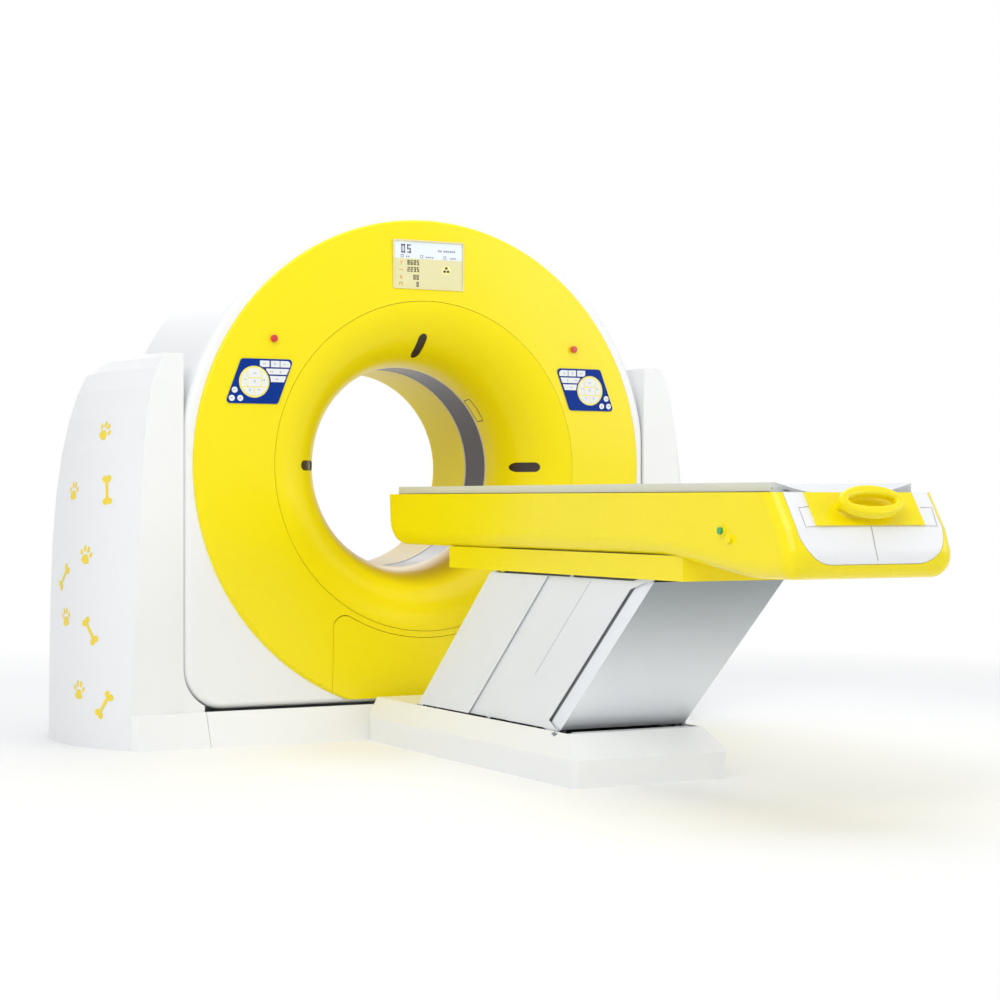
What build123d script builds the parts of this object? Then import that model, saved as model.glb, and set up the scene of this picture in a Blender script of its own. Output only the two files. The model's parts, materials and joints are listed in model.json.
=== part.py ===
from build123d import *
import os
from math import asin, cos, radians, sin, sqrt, tan

# A veterinary computed-tomography scanner: a tilting ring gantry between two side towers, and a
# patient table on a leaning parallelogram lift.
#
# Frame, in millimetres: the origin is on the floor straight below the isocentre, where the scan
# plane crosses the bore axis. +X is right as seen from the table, +Y runs along the bore from
# the table into the gantry, and +Z is up. The table foot is at the far -Y end.

# Gantry: driving sizes
BORE_Z = 918.0              # height of the bore axis, which is also the tilt axis
BORE_R = 350.0              # clear radius of the patient opening
FLARE_W = 214.0             # radial width of the flare, up to its seam with the disc
FACE_W = 278.0              # radial width of the disc outside that seam
HOOP_W = 38.0               # white hoop that shows round the disc
HOOP_FOOT = 13.0            # the same hoop below the disc's straight lower edge
DISC_STAND = 7.0            # the disc's rim stands this far in front of the drum
DISC_DOME = 12.0            # how far the disc swells towards the table at the seam
DISC_RIM_R = 13.0           # rounding of the disc's rim
DISC_RIM_FALL = 3.0
DISC_CROWN = 2.0            # bow of the face between seam and rim
DRUM_SIDE_CUT = 10.0        # how far the drum's flat sides cut into its arch
DRUM_LIFT = 6.0             # gap between the plinth and the drum's flat bottom
DRUM_CORNER_R = 135.0
DRUM_SHOULDER_R = 400.0     # softens the turn from the arch into the sides
DRUM_EDGE_R = 22.0          # soft outer edge of the front and rear panels
DRUM_FRONT_Y = -318.0
DRUM_BACK_Y = 365.0
PANEL_DEPTH = 62.0          # how far the front and rear panels wrap round the drum
WINDOW_W = 165.0            # dark window band at the scan plane, with its two rings
RING_W = 8.0
REAR_FLARE_R = 20.0
COVER_T = 4.0               # moulded cover wall
SEAM_GAP = 1.5              # visible joint between neighbouring covers

SEAM_R = BORE_R + FLARE_W
DISC_R = SEAM_R + FACE_W
DRUM_R = DISC_R + HOOP_W
DRUM_HALF_W = DRUM_R - DRUM_SIDE_CUT
DISC_Y = DRUM_FRONT_Y - DISC_STAND

# Lower access cover
ACCESS_HALF_W = 353.0
ACCESS_BAND = 22.0          # disc left between the seam and the access cover
ACCESS_CORNER_R = 42.0

# Laser slots, display, control panels and emergency buttons
SLOT_START = 28.0           # from the bore's edge
SLOT_LEN = 78.0
SLOT_W = 34.0
DISPLAY_OUT = 123.0         # middle of the display above the top of the seam circle
DISPLAY_W = 269.0
DISPLAY_H = 167.0
DISPLAY_FRAME = 5.0
PANEL_OUT = 111.5           # middle of a control panel outside the seam circle
PANEL_ANGLE = 24.02
PANEL_W = 182.0
PANEL_H = 148.0
PANEL_SHEAR = 56.0
PANEL_CORNER_R = 12.0
KEY_GAP = 3.5
KEY_RING_R = 46.0           # the round group of keys
KEY_RING_IN = -18.6         # its middle, towards the bore and up from the panel's middle
KEY_RING_UP = -2.8
KEY_STRIP = 21.5            # half width of the group's middle column
KEY_ROW_H = 22.0
ROUND_KEY_R = 10.0
ESTOP_OUT = 140.6
ESTOP_ANGLE = 36.284
ESTOP_R = 12.0
ESTOP_STEM_R = 6.0
ESTOP_TRAVEL = 4.0
DISPLAY_Z = BORE_Z + SEAM_R + DISPLAY_OUT
PANEL_X = (SEAM_R + PANEL_OUT) * cos(radians(PANEL_ANGLE))
PANEL_Z = BORE_Z + (SEAM_R + PANEL_OUT) * sin(radians(PANEL_ANGLE))
ESTOP_X = (SEAM_R + ESTOP_OUT) * cos(radians(ESTOP_ANGLE))
ESTOP_Z = BORE_Z + (SEAM_R + ESTOP_OUT) * sin(radians(ESTOP_ANGLE))

# Side towers and plinths
TILT_GAP = 3.0              # running gap between the tilting drum and the towers
TOWER_RISE = 360.0          # tower top above the bore axis
TOWER_BACK_Y = 345.0
TOWER_BULGE_Y = 75.0
TOWER_W = 193.0             # front corner at the floor, out from the drum's side
TOWER_DRAFT = 0.055         # its inward lean per millimetre of height
TOWER_EASE = 55.0
TOWER_TOP_W = 115.0         # widest point at the top, and how much wider it is at the floor
TOWER_SWELL = 204.0
TOWER_NOSE = 20.0
PLINTH_Z = 112.0
PLINTH_SEAM_IN = 70.0       # plinth seam, in from the drum's side
PLINTH_SETOUT = 4.0         # the plinth's back in front of the drum
PLINTH_LEAN = 55.0          # how far the plinth face comes forward at the floor
PLINTH_BOW = 26.0
BASE_T = 30.0               # floor plates under the drum
BASE_WINDOW_X = 560.0       # the opening between them, with a rib across its middle
BASE_WINDOW_NEAR_Y = -150.0
BASE_WINDOW_FAR_Y = 200.0
BASE_RIB_X = 90.0
BASE_BOLT_X = 700.0
BASE_BOLT_NEAR_Y = -220.0
BASE_BOLT_FAR_Y = 270.0
BOLT_R = 9.0
PILLAR_OUT = 75.0           # middle of a pillar, out from the drum's side
PILLAR_IN = 45.0            # its plates on both sides of that
PILLAR_T = 80.0
PILLAR_DROP = 62.0          # pillar top below the tilt axis
TRUNNION_R = 45.0
TOWER_TOP_Z = BORE_Z + TOWER_RISE
TOWER_FRONT_X = DRUM_HALF_W + TOWER_W
TOWER_TOP_BULGE = DRUM_HALF_W + TOWER_TOP_W
PLINTH_SEAM_X = DRUM_HALF_W - PLINTH_SEAM_IN
PLINTH_BACK_Y = DRUM_FRONT_Y - PLINTH_SETOUT
PILLAR_X = DRUM_HALF_W + PILLAR_OUT
REAR_PLINTH_Y = DRUM_BACK_Y + 4
REAR_PLINTH_STAND = 20.0
DRUM_BOTTOM_Z = PLINTH_Z + DRUM_LIFT
DISC_FLAT_Z = DRUM_BOTTOM_Z + HOOP_FOOT
ACCESS_R = SEAM_R + ACCESS_BAND
SLOT_R_IN = BORE_R + SLOT_START
SLOT_R_OUT = SLOT_R_IN + SLOT_LEN

# Rotating part
ROTOR_GAP = 90.0            # rotor inside the drum's sides
ROTOR_IN = 50.0             # its hole outside the bore
ROTOR_PLATE_Y = 70.0
ROTOR_PLATE_T = 30.0
BEARING_IN = 80.0           # bearing's bore outside the patient opening
BEARING_DEPTH = 90.0
BEARING_W = 50.0
ROLLER_R = 9.0
ROLLER_COUNT = 36
FRAME_PLATE_T = 25.0
FOCUS_OUT = 240.0           # tube axis outside the bore
TUBE_R = 95.0
COLLIMATOR_IN = 60.0        # collimator outside the bore
DETECTOR_IN = 80.0          # inner face of the detector row outside the bore
BELT_OUT = 40.0             # rotor's belt track outside the bearing
MOTOR_PULLEY_R = 45.0
PULLEY_OUT = 130.0          # the drive pulley's axis outside the belt track
PULLEY_ANGLE = -40.0
BELT_T = 4.0
BELT_W = 30.0
HV_IN = 150.0               # high-voltage generator outside the bore, and its size
HV_H = 200.0
HV_W = 340.0
HV_D = 220.0
HV_FIN = 20.0
RUN = 0.05                  # running clearance on radius
SEAT = 0.3                  # gap between seated neighbours
ROTOR_R = DRUM_HALF_W - ROTOR_GAP
ROTOR_IN_R = BORE_R + ROTOR_IN
BEARING_IN_R = BORE_R + BEARING_IN
BEARING_OUT_R = BEARING_IN_R + BEARING_DEPTH
FOCUS_R = BORE_R + FOCUS_OUT
DETECTOR_R = BORE_R + DETECTOR_IN
BELT_R = BEARING_OUT_R + BELT_OUT
BASE_FRONT_Y = PLINTH_BACK_Y + SEAT
BASE_BACK_Y = TOWER_BACK_Y - COVER_T - 1

# Table: driving sizes
TABLE_HALF_W = 250.0
TABLE_TOP_Z = 821.0
TABLE_BELLY_Z = 658.0
TABLE_FOOT_BELLY_Z = 611.0
TABLE_NOSE_Y = -525.0
TABLE_FOOT_Y = -2815.0
TABLE_CORNER_R = 46.0
TABLE_T = 4.0
END_PANEL_T = 6.0
HANDLE_HALF_W = 95.0        # oval of the handle, and of its finger hole
HANDLE_HALF_H = 44.0
HANDLE_HOLE_HALF_W = 71.0
HANDLE_HOLE_HALF_H = 17.0
HANDLE_T = 26.0
HANDLE_ROUND = 8.5
HANDLE_FOOT = 14.0          # finger room behind it
END_PANEL_HALF_W = 161.0
END_PANEL_LOW = 130.0       # its lower edge above the foot's underside
CAP_BAND = 32.0             # yellow rim left round the end cap
CAP_CORNER_R = 90.0
FOOT_BEVEL = 60.0           # heights of the foot end's bevel and slope, and their depths
FOOT_SLOPE_Z = 126.0
FOOT_SLOPE_Y = 24.0
FOOT_TOP_Y = 80.0
BUTTON_Y = -2520.0
BUTTON_Z = 726.0
BUTTON_R = 9.0
BUTTON_STAND = 10.0
BUTTON_TRAVEL = 3.0
CRADLE_HALF_W = 216.0
CRADLE_RIM_Z = 845.0
CRADLE_DIP = 33.0
CRADLE_T = 22.0
CRADLE_CORNER_R = 25.0
CRADLE_LEN = 2150.0
CRADLE_HEAD_Y = -538.0
RAIL_X = 120.0
RAIL_W = 26.0
SUBFRAME_HALF_W = 226.0
SUBFRAME_Z = 592.0
SUBFRAME_NEAR_Y = -953.0
SUBFRAME_FAR_Y = -2484.0
BASE_HALF_W = 257.0
BASE_TOP_Z = 143.0
BASE_SIDE_Z = 78.0
BASE_FAR_Y = -1790.0
BASE_CORNER_R = 22.0

# Parallelogram lift
LEAN = 41.0                 # slope of the arms above the floor at the modelled height
LOW_PIVOT_Z = 140.0
HIGH_PIVOT_Z = 604.0
FRONT_ARM_Y = -805.0        # lower pivots
REAR_ARM_Y = -1456.0
ARM_X = 170.0
ARM_T = 20.0
ARM_W = 56.0
ARM_PIN_R = 14.0
SIDE_PLATE_X = 190.0
SIDE_PLATE_T = 12.0
COVER_Z0 = 147.0            # lower and upper ends of the column covers
COVER_Z1 = 585.0
COLUMN_NEAR_Y = -712.0      # edges of the column covers at their lower end
PANEL_A_FAR_Y = -1068.0     # visible joints of the side panels at that end
PANEL_C_NEAR_Y = -1308.0
PANEL_C_FAR_Y = -1545.0
COLUMN_FAR_Y = -1630.0
PANEL_OVERLAP = 64.0        # the middle panel reaches this far behind its neighbours
PANEL_B_PIVOT = 482.0       # its pivot, back from the near edge of the column
FRONT_PIVOT_IN = 24.0       # pivots of the two end covers, in from their faces
REAR_PIVOT_IN = 12.0
FRONT_FLANGE = 30.0
REAR_FLANGE = 74.0
FRONT_COVER_X = 204.0
REAR_COVER_X = 208.0
SHEET_T = 2.0
SHEET_STEP = 3.0            # from one layer of sheets to the next
COVER_PIN_R = 5.0
EAR_R = 9.0

# Lift actuator
ACT_Y = -890.0
ACT_Z = 50.0
ACT_REACH = 300.0           # along the front arm from its lower pivot
ACT_BODY_R = 26.0
ACT_ROD_R = 13.0
ACT_STROKE = 52.0           # how far the rod goes in below the modelled height
ACT_CROSS_R = 12.0
ACT_SLACK = 3.4             # the open pivot of the linkage

ARM_L = (HIGH_PIVOT_Z - LOW_PIVOT_Z) / sin(radians(LEAN))
ARM_DY = -ARM_L * cos(radians(LEAN))
PER_Z = ARM_DY / (HIGH_PIVOT_Z - LOW_PIVOT_Z)
BAND_Y = WINDOW_W / 2
FRONT_PIVOT_Y = COLUMN_NEAR_Y - FRONT_PIVOT_IN - (COVER_Z0 - LOW_PIVOT_Z) * PER_Z
MIDDLE_PIVOT_Y = COLUMN_NEAR_Y - PANEL_B_PIVOT - (COVER_Z0 - LOW_PIVOT_Z) * PER_Z
REAR_PIVOT_Y = COLUMN_FAR_Y + REAR_PIVOT_IN - (COVER_Z0 - LOW_PIVOT_Z) * PER_Z
BASE_NEAR_Y = PLINTH_BACK_Y - PLINTH_LEAN - PLINTH_BOW - SEAT
COLUMN_SLOT_X = SUBFRAME_HALF_W - 4.5

os.makedirs("parts", exist_ok=True)


def save(name, shape):
    shape.label = name
    export_step(shape, f"parts/{name}.step")


def both_sides(shape):
    return Compound(children=[*shape.solids(), *mirror(shape, about=Plane.YZ).solids()])


def box(x0, x1, y0, y1, z0, z1):
    return Pos((x0 + x1) / 2, (y0 + y1) / 2, (z0 + z1) / 2) * Box(x1 - x0, y1 - y0, z1 - z0)


def across(sketch, y0, y1):
    """Extrude a sketch drawn in X and Z from y0 to y1."""
    return extrude(Plane.XZ.offset(-y1) * sketch, amount=y1 - y0)


def sideways(sketch, x0, x1):
    """Extrude a sketch drawn in Y and Z from x0 to x1."""
    return extrude(Plane.YZ.offset(x0) * sketch, amount=x1 - x0)


def about_bore(profile):
    """Revolve a section drawn as radius and Y about the bore axis."""
    return Pos(0, 0, BORE_Z) * revolve(profile, Axis.Y)


def tube_y(r_out, r_in, y0, y1):
    ring = Circle(r_out) - Circle(r_in) if r_in else Circle(r_out)
    return across(Pos(0, BORE_Z) * ring, y0, y1)


def rod_x(r, x0, x1, y, z):
    return sideways(Pos(y, z) * Circle(r), x0, x1)


def rod_y(r, y0, y1, x, z):
    return across(Pos(x, z) * Circle(r), y0, y1)


def polygon(*points):
    return make_face(Polyline(*points, close=True))


# The tilting drum's covers

def drum_outline(inset=0.0):
    radius = DRUM_R - inset
    half = DRUM_HALF_W - inset
    bottom = DRUM_BOTTOM_Z + inset
    shoulder = BORE_Z + sqrt(radius * radius - half * half)
    outline = make_face(Curve() + [
        Line((-half, shoulder), (-half, bottom)),
        Line((-half, bottom), (half, bottom)),
        Line((half, bottom), (half, shoulder)),
        ThreePointArc((half, shoulder), (0, BORE_Z + radius), (-half, shoulder)),
    ])
    levels = outline.vertices().group_by(Axis.Y)
    outline = fillet(levels[-1], DRUM_SHOULDER_R - inset)
    return fillet(outline.vertices().group_by(Axis.Y)[0], DRUM_CORNER_R - inset)


def disc_zone(shape, low_z):
    return shape & box(-DRUM_R, DRUM_R, DISC_Y - 100, DRUM_BACK_Y, low_z, BORE_Z + DRUM_R)


def panel_hoop(y_face, y_edge, hole):
    """A drum end panel: a face with a round hole, wrapped round the drum's edge."""
    low, high = min(y_face, y_edge), max(y_face, y_edge)
    solid = across(drum_outline(), low, high)
    rim = solid.edges().filter_by_position(Axis.Y, y_face - 0.1, y_face + 0.1)
    solid = fillet(rim, DRUM_EDGE_R)
    inward = COVER_T if y_face < y_edge else -COVER_T
    inner_face = y_face + inward
    inner_edge = y_edge + inward
    cavity = across(drum_outline(COVER_T), min(inner_face, inner_edge), max(inner_face, inner_edge))
    rim = cavity.edges().filter_by_position(Axis.Y, inner_face - 0.1, inner_face + 0.1)
    return solid - fillet(rim, DRUM_EDGE_R - COVER_T) - hole


def front_panel():
    hole_r = DISC_R - 8
    hole = disc_zone(tube_y(hole_r, 0, DRUM_FRONT_Y - 5, DRUM_FRONT_Y + 10), DISC_FLAT_Z + 8)
    panel = panel_hoop(DRUM_FRONT_Y, DRUM_FRONT_Y + PANEL_DEPTH, hole)
    groove = box(-ACCESS_HALF_W - SEAM_GAP / 2, -ACCESS_HALF_W + SEAM_GAP / 2,
                 DRUM_FRONT_Y - 5, DRUM_FRONT_Y + 1.5, DRUM_BOTTOM_Z - 1, DISC_FLAT_Z + 9)
    return panel - groove - mirror(groove, about=Plane.YZ)


def rear_panel():
    hole = tube_y(BORE_R + REAR_FLARE_R + COVER_T + 1, 0, DRUM_BACK_Y - 10, DRUM_BACK_Y + 5)
    return panel_hoop(DRUM_BACK_Y, DRUM_BACK_Y - PANEL_DEPTH, hole)


def drum_shell():
    y0 = DRUM_FRONT_Y + PANEL_DEPTH + SEAM_GAP / 3
    y1 = DRUM_BACK_Y - PANEL_DEPTH - SEAM_GAP / 3
    shell = across(drum_outline(), y0, y1) - across(drum_outline(COVER_T), y0 - 1, y1 + 1)
    holes = rod_x(TRUNNION_R + 6, -DRUM_R, DRUM_R, 0, BORE_Z)
    return shell - holes


def disc_section():
    seam = SEAM_R + SEAM_GAP / 2
    front = DISC_Y - DISC_DOME
    rim_start = DISC_R - DISC_RIM_R
    shoulder = DISC_Y - DISC_RIM_FALL
    back = DRUM_FRONT_Y - SEAT
    middle = (seam + rim_start) / 2
    crown = (front + shoulder) / 2 - DISC_CROWN
    t = COVER_T
    bend = sqrt(0.5)
    outer = [
        ThreePointArc((seam, front), (middle, crown), (rim_start, shoulder)),
        ThreePointArc((rim_start, shoulder),
                      (rim_start + DISC_RIM_R * bend, shoulder + (back - shoulder) * (1 - bend)),
                      (DISC_R, back)),
    ]
    inner = [
        Line((DISC_R, back), (DISC_R - t, back)),
        Line((DISC_R - t, back), (rim_start, shoulder + t)),
        ThreePointArc((rim_start, shoulder + t), (middle, crown + t), (seam, front + t)),
        Line((seam, front + t), (seam, front)),
    ]
    return make_face(Curve() + outer + inner)


def access_zone(grow=0.0):
    """The lower service opening: straight sides, an arc above that follows the seam circle."""
    half = ACCESS_HALF_W + grow
    low = DISC_FLAT_Z - 20
    zone = Pos(0, (low + BORE_Z) / 2) * Rectangle(2 * half, BORE_Z - low)
    zone -= Pos(0, BORE_Z) * Circle(ACCESS_R - grow)
    top = [v for v in zone.vertices() if v.Y > low + 50]
    zone = fillet(top, ACCESS_CORNER_R)
    return across(zone, DISC_Y - 40, DISC_Y + 40)


def ring_cover(disc):
    cover = disc - access_zone(SEAM_GAP / 2)
    screen = box(-DISPLAY_W / 2 + 2, DISPLAY_W / 2 - 2, DISC_Y - 40, DISC_Y + 40,
                 DISPLAY_Z - DISPLAY_H / 2 + 2, DISPLAY_Z + DISPLAY_H / 2 - 2)
    stems = rod_y(ESTOP_STEM_R + 0.5, DISC_Y - 40, DISC_Y + 40, ESTOP_X, ESTOP_Z)
    return cover - screen - stems - mirror(stems, about=Plane.YZ)


def flare_section(inset, depth):
    """A quarter-ellipse skin from the seam circle to the throat."""
    rim = SEAM_R - SEAM_GAP / 2
    a = rim - BORE_R - inset
    b = DISC_DOME - DISC_Y - BAND_Y - inset
    skin = Ellipse(a, b) - Ellipse(a - depth, b - depth)
    quarter = Pos(-a / 2, -b / 2) * Rectangle(a, b)
    return Pos(rim, -BAND_Y) * (skin & quarter)


def laser_slots(grow=0.0):
    length = SLOT_R_OUT - SLOT_R_IN + 2 * grow
    width = SLOT_W + 2 * grow
    middle = (SLOT_R_OUT + SLOT_R_IN) / 2
    slots = [Pos(0, BORE_Z) * Rot(0, 0, turn) * Pos(middle, 0) * SlotOverall(length, width)
             for turn in (0, 90, 180)]
    return [across(slot, DISC_Y - 30, -BAND_Y - 5) for slot in slots]


def bore_flare():
    flare = about_bore(flare_section(0, COVER_T))
    for slot in laser_slots():
        flare -= slot
    return flare


def laser_windows():
    glass = about_bore(flare_section(COVER_T + 0.3, 3))
    return Compound(children=[s for slot in laser_slots(8) for s in (glass & slot).solids()])


def window_band():
    return tube_y(BORE_R + 4, BORE_R + 1, -BAND_Y + RING_W + 0.3, BAND_Y - RING_W - 0.3)


def window_rings():
    lip = 8.0
    outer = BORE_R + 8
    section = polygon((BORE_R, BAND_Y - 0.3), (outer, BAND_Y - 0.3), (outer, BAND_Y - RING_W - lip),
                      (BORE_R + 4.3, BAND_Y - RING_W - lip), (BORE_R + 4.3, BAND_Y - RING_W),
                      (BORE_R, BAND_Y - RING_W))
    ring = about_bore(section)
    return Compound(children=[ring.solid(), mirror(ring, about=Plane.XZ).solid()])


def rear_throat():
    y1 = DRUM_BACK_Y - REAR_FLARE_R
    r = BORE_R
    mid = REAR_FLARE_R * (1 - sqrt(0.5))
    t = COVER_T
    path = [
        Line((r, BAND_Y), (r, y1)),
        ThreePointArc((r, y1), (r + mid, DRUM_BACK_Y - mid), (r + REAR_FLARE_R, DRUM_BACK_Y)),
        Line((r + REAR_FLARE_R, DRUM_BACK_Y), (r + REAR_FLARE_R + t, DRUM_BACK_Y)),
        Line((r + REAR_FLARE_R + t, DRUM_BACK_Y), (r + REAR_FLARE_R + t, DRUM_BACK_Y - t)),
        Line((r + REAR_FLARE_R + t, DRUM_BACK_Y - t), (r + REAR_FLARE_R, DRUM_BACK_Y - t)),
        ThreePointArc((r + REAR_FLARE_R, DRUM_BACK_Y - t), (r + mid + t * 0.7, y1 + 14 - t * 0.7),
                      (r + t, y1)),
        Line((r + t, y1), (r + t, BAND_Y)),
        Line((r + t, BAND_Y), (r, BAND_Y)),
    ]
    return about_bore(make_face(Curve() + path))


# What the disc carries

def display_frame():
    y = DISC_Y - DISC_DOME - 2.8
    hole = Rectangle(DISPLAY_W - 2 * DISPLAY_FRAME, DISPLAY_H - 2 * DISPLAY_FRAME)
    rim = Pos(0, DISPLAY_Z) * (RectangleRounded(DISPLAY_W, DISPLAY_H, 4) - hole)
    sleeve = Pos(0, DISPLAY_Z) * (Rectangle(DISPLAY_W - 5, DISPLAY_H - 5) - hole)
    return across(rim, y, y + 2.5) + across(sleeve, y + 1, y + 22)


def display_screen():
    y = DISC_Y - DISC_DOME + 1.5
    plate = Rectangle(DISPLAY_W - 2 * DISPLAY_FRAME - 0.6, DISPLAY_H - 2 * DISPLAY_FRAME - 0.6)
    return across(Pos(0, DISPLAY_Z) * plate, y, y + 18)


def panel_outline(grow=0.0):
    """The left control panel seen from the table: its lower edge is set outwards."""
    w, h, s = PANEL_W / 2 + grow, PANEL_H / 2 + grow, PANEL_SHEAR / 2
    outline = polygon((-w + s, h), (w + s, h), (w - s, -h), (-w - s, -h))
    return Pos(-PANEL_X, PANEL_Z) * fillet(outline.vertices(), PANEL_CORNER_R)


def disc_skin(y_out, y_in):
    """A layer that follows the disc's face, from y_out to y_in in front of it."""
    seam, front = SEAM_R + SEAM_GAP / 2, DISC_Y - DISC_DOME
    edge, shoulder = DISC_R - DISC_RIM_R, DISC_Y - DISC_RIM_FALL
    middle = (seam + edge) / 2
    crown = (front + shoulder) / 2 - DISC_CROWN
    near = ThreePointArc((seam, front - y_out), (middle, crown - y_out), (edge, shoulder - y_out))
    far = ThreePointArc((edge, shoulder - y_in), (middle, crown - y_in), (seam, front - y_in))
    sides = [Line(near @ 1, far @ 0), Line(far @ 1, near @ 0)]
    return about_bore(make_face(Curve() + [near, far] + sides))


def control_panels():
    plate = disc_skin(3.3, 0.3) & across(panel_outline(), DISC_Y - 60, DISC_Y + 10)
    return both_sides(plate)


def round_keys():
    """The round group: a column of three, one key on each side, split by straight gaps."""
    middle, foot = 11.0, -15.0
    disc = Circle(KEY_RING_R)
    reach = 2 * KEY_RING_R
    low, high = foot - KEY_GAP, middle + KEY_GAP
    cells = [Pos(0, high + reach / 2) * Rectangle(2 * KEY_STRIP, reach),
             Pos(0, (middle + foot) / 2) * Rectangle(2 * KEY_STRIP, middle - foot)]
    for side in (-1, 1):
        cells.append(Pos(side * (KEY_STRIP + KEY_GAP + reach / 2), foot + reach / 2)
                     * Rectangle(reach, reach))
        cells.append(Pos(side * (KEY_GAP / 2 + reach / 2), low - reach / 2)
                     * Rectangle(reach, reach))
    return [Pos(KEY_RING_IN, KEY_RING_UP) * (disc & cell) for cell in cells]


def row_keys():
    """Two rows and a single key at the panel's upper inner corner, cut to its slanted edge."""
    keys = [Pos(x, 58) * Rectangle(w, KEY_ROW_H) for x, w in ((92, 40), (54, 31), (17, 33))]
    keys += [Pos(62, 32.5) * Rectangle(80, KEY_ROW_H - 3), Pos(64, 8) * Rectangle(60, KEY_ROW_H - 2)]
    inside = Pos(PANEL_X, -PANEL_Z) * panel_outline(-6)
    around = Pos(KEY_RING_IN, KEY_RING_UP) * Circle(KEY_RING_R + 11)
    return [(key & inside) - around for key in keys]


def keypads():
    keys = round_keys() + row_keys()
    keys += [Pos(x, z) * Circle(ROUND_KEY_R) for x, z in ((-87, -30), (-68, -57), (-97, -57))]
    skin = disc_skin(4.2, 3.5)
    pads = [skin & across(Pos(-PANEL_X, PANEL_Z) * key, DISC_Y - 60, DISC_Y + 10) for key in keys]
    return both_sides(Compound(children=[solid for pad in pads for solid in pad.solids()]))


def emergency_button(side):
    face = DISC_Y - DISC_DOME - 5
    cap = rod_y(ESTOP_R, face - 8, face, side * ESTOP_X, ESTOP_Z)
    cap = fillet(cap.edges().filter_by_position(Axis.Y, face - 8.1, face - 7.9), 4)
    stem = rod_y(ESTOP_STEM_R, face - 1, DISC_Y + 18, side * ESTOP_X, ESTOP_Z)
    return cap + stem


def emergency_blocks():
    """Contact blocks behind the disc, with the sleeves that guide the stems."""
    y0, y1 = DISC_Y - DISC_DOME, DISC_Y + 40
    block = box(ESTOP_X - 16, ESTOP_X + 16, y0, y1, ESTOP_Z - 16, ESTOP_Z + 16)
    bore = rod_y(ESTOP_STEM_R + RUN, y0 - 1, DISC_Y + 18 + ESTOP_TRAVEL + 2, ESTOP_X, ESTOP_Z)
    return both_sides(block - bore - disc_skin(30, -COVER_T - SEAT))


# The tilt frame and what turns on it

def tilt_frame():
    y0 = ROTOR_PLATE_Y + ROTOR_PLATE_T + BEARING_W + 10
    plate = tube_y(DRUM_HALF_W - 45, BEARING_OUT_R - 12, y0, y0 + FRAME_PLATE_T)
    cheek_x = DRUM_HALF_W - 40
    cheek = box(cheek_x, cheek_x + 20, -90, y0 + FRAME_PLATE_T, BORE_Z - 150, BORE_Z + 150)
    foot = box(DRUM_HALF_W - 90, cheek_x + 1, y0, y0 + FRAME_PLATE_T, BORE_Z - 150, BORE_Z + 150)
    stub = rod_x(TRUNNION_R, cheek_x + 10, PILLAR_X + 70, 0, BORE_Z)
    flange = rod_x(TRUNNION_R + 40, cheek_x + 19, cheek_x + 32, 0, BORE_Z)
    side = cheek + foot + stub + flange
    lip = tube_y(BEARING_OUT_R + 22, BEARING_OUT_R + 0.2, y0 - BEARING_W + 5, y0 + 1)
    plate &= across(drum_outline(COVER_T + 6), y0 - 1, y0 + FRAME_PLATE_T + 1)
    x, z = pulley_centre()
    plate -= rod_y(20, y0 - 1, y0 + FRAME_PLATE_T + 1, x, z)
    frame = plate + lip + side + mirror(side, about=Plane.YZ)
    ledge_z = BORE_Z + DRUM_HALF_W - 40
    ties = [box(x - 12, x + 12, y0, DRUM_BACK_Y - COVER_T - 0.3, ledge_z - 120, ledge_z - 60)
            for x in (-240, 240)]
    return frame + ties[0] + ties[1]


def bearing_mid():
    return (BEARING_IN_R + BEARING_OUT_R) / 2


def bearing_ring(r_in, r_out):
    y0 = ROTOR_PLATE_Y + ROTOR_PLATE_T + 0.3
    y1 = y0 + BEARING_W
    track = rod_track()
    return tube_y(r_out, r_in, y0, y1) - track


def rod_track():
    y = ROTOR_PLATE_Y + ROTOR_PLATE_T + 0.3 + BEARING_W / 2
    half = ROLLER_R + 1.5 * RUN
    return tube_y(bearing_mid() + half, bearing_mid() - half, y - half - 1, y + half + 1)


def bearing_rollers():
    y = ROTOR_PLATE_Y + ROTOR_PLATE_T + 0.3 + BEARING_W / 2
    roller = Cylinder(ROLLER_R, 2 * ROLLER_R, rotation=(90, 0, 0))
    place = Pos(0, y, BORE_Z)
    rollers = [place * Rot(0, n * 360 / ROLLER_COUNT, 0) * Pos(bearing_mid(), 0, 0) * roller
               for n in range(ROLLER_COUNT)]
    return Compound(children=[r.solid() for r in rollers])


def rotor_plate():
    y0, y1 = ROTOR_PLATE_Y, ROTOR_PLATE_Y + ROTOR_PLATE_T
    plate = tube_y(ROTOR_R, ROTOR_IN_R, y0, y1)
    for n in range(8):
        turn = Rot(0, 0, 22.5 + 45 * n)
        plate -= across(Pos(0, BORE_Z) * turn * Pos(680, 0) * Circle(55), y0 - 1, y1 + 1)
    track = tube_y(BELT_R, BELT_R - 12, y1 - 1, belt_y() + BELT_W + 2)
    return plate + track


def on_rotor(angle, shape):
    """Turn a piece drawn at the top of the rotor to its place."""
    return Pos(0, 0, BORE_Z) * Rot(0, angle, 0) * shape


def xray_tube():
    body = Pos(0, 0, FOCUS_R) * Cylinder(TUBE_R, 230, rotation=(90, 0, 0))
    cap = Pos(0, -125, FOCUS_R) * Cylinder(TUBE_R - 35, 30, rotation=(90, 0, 0))
    foot = box(-120, 120, 40, ROTOR_PLATE_Y - 0.3, FOCUS_R - 60, FOCUS_R + 90)
    return on_rotor(0, body & box(-200, 200, -200, ROTOR_PLATE_Y - 0.3, 0, 900)) + on_rotor(0, foot + cap)


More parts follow.
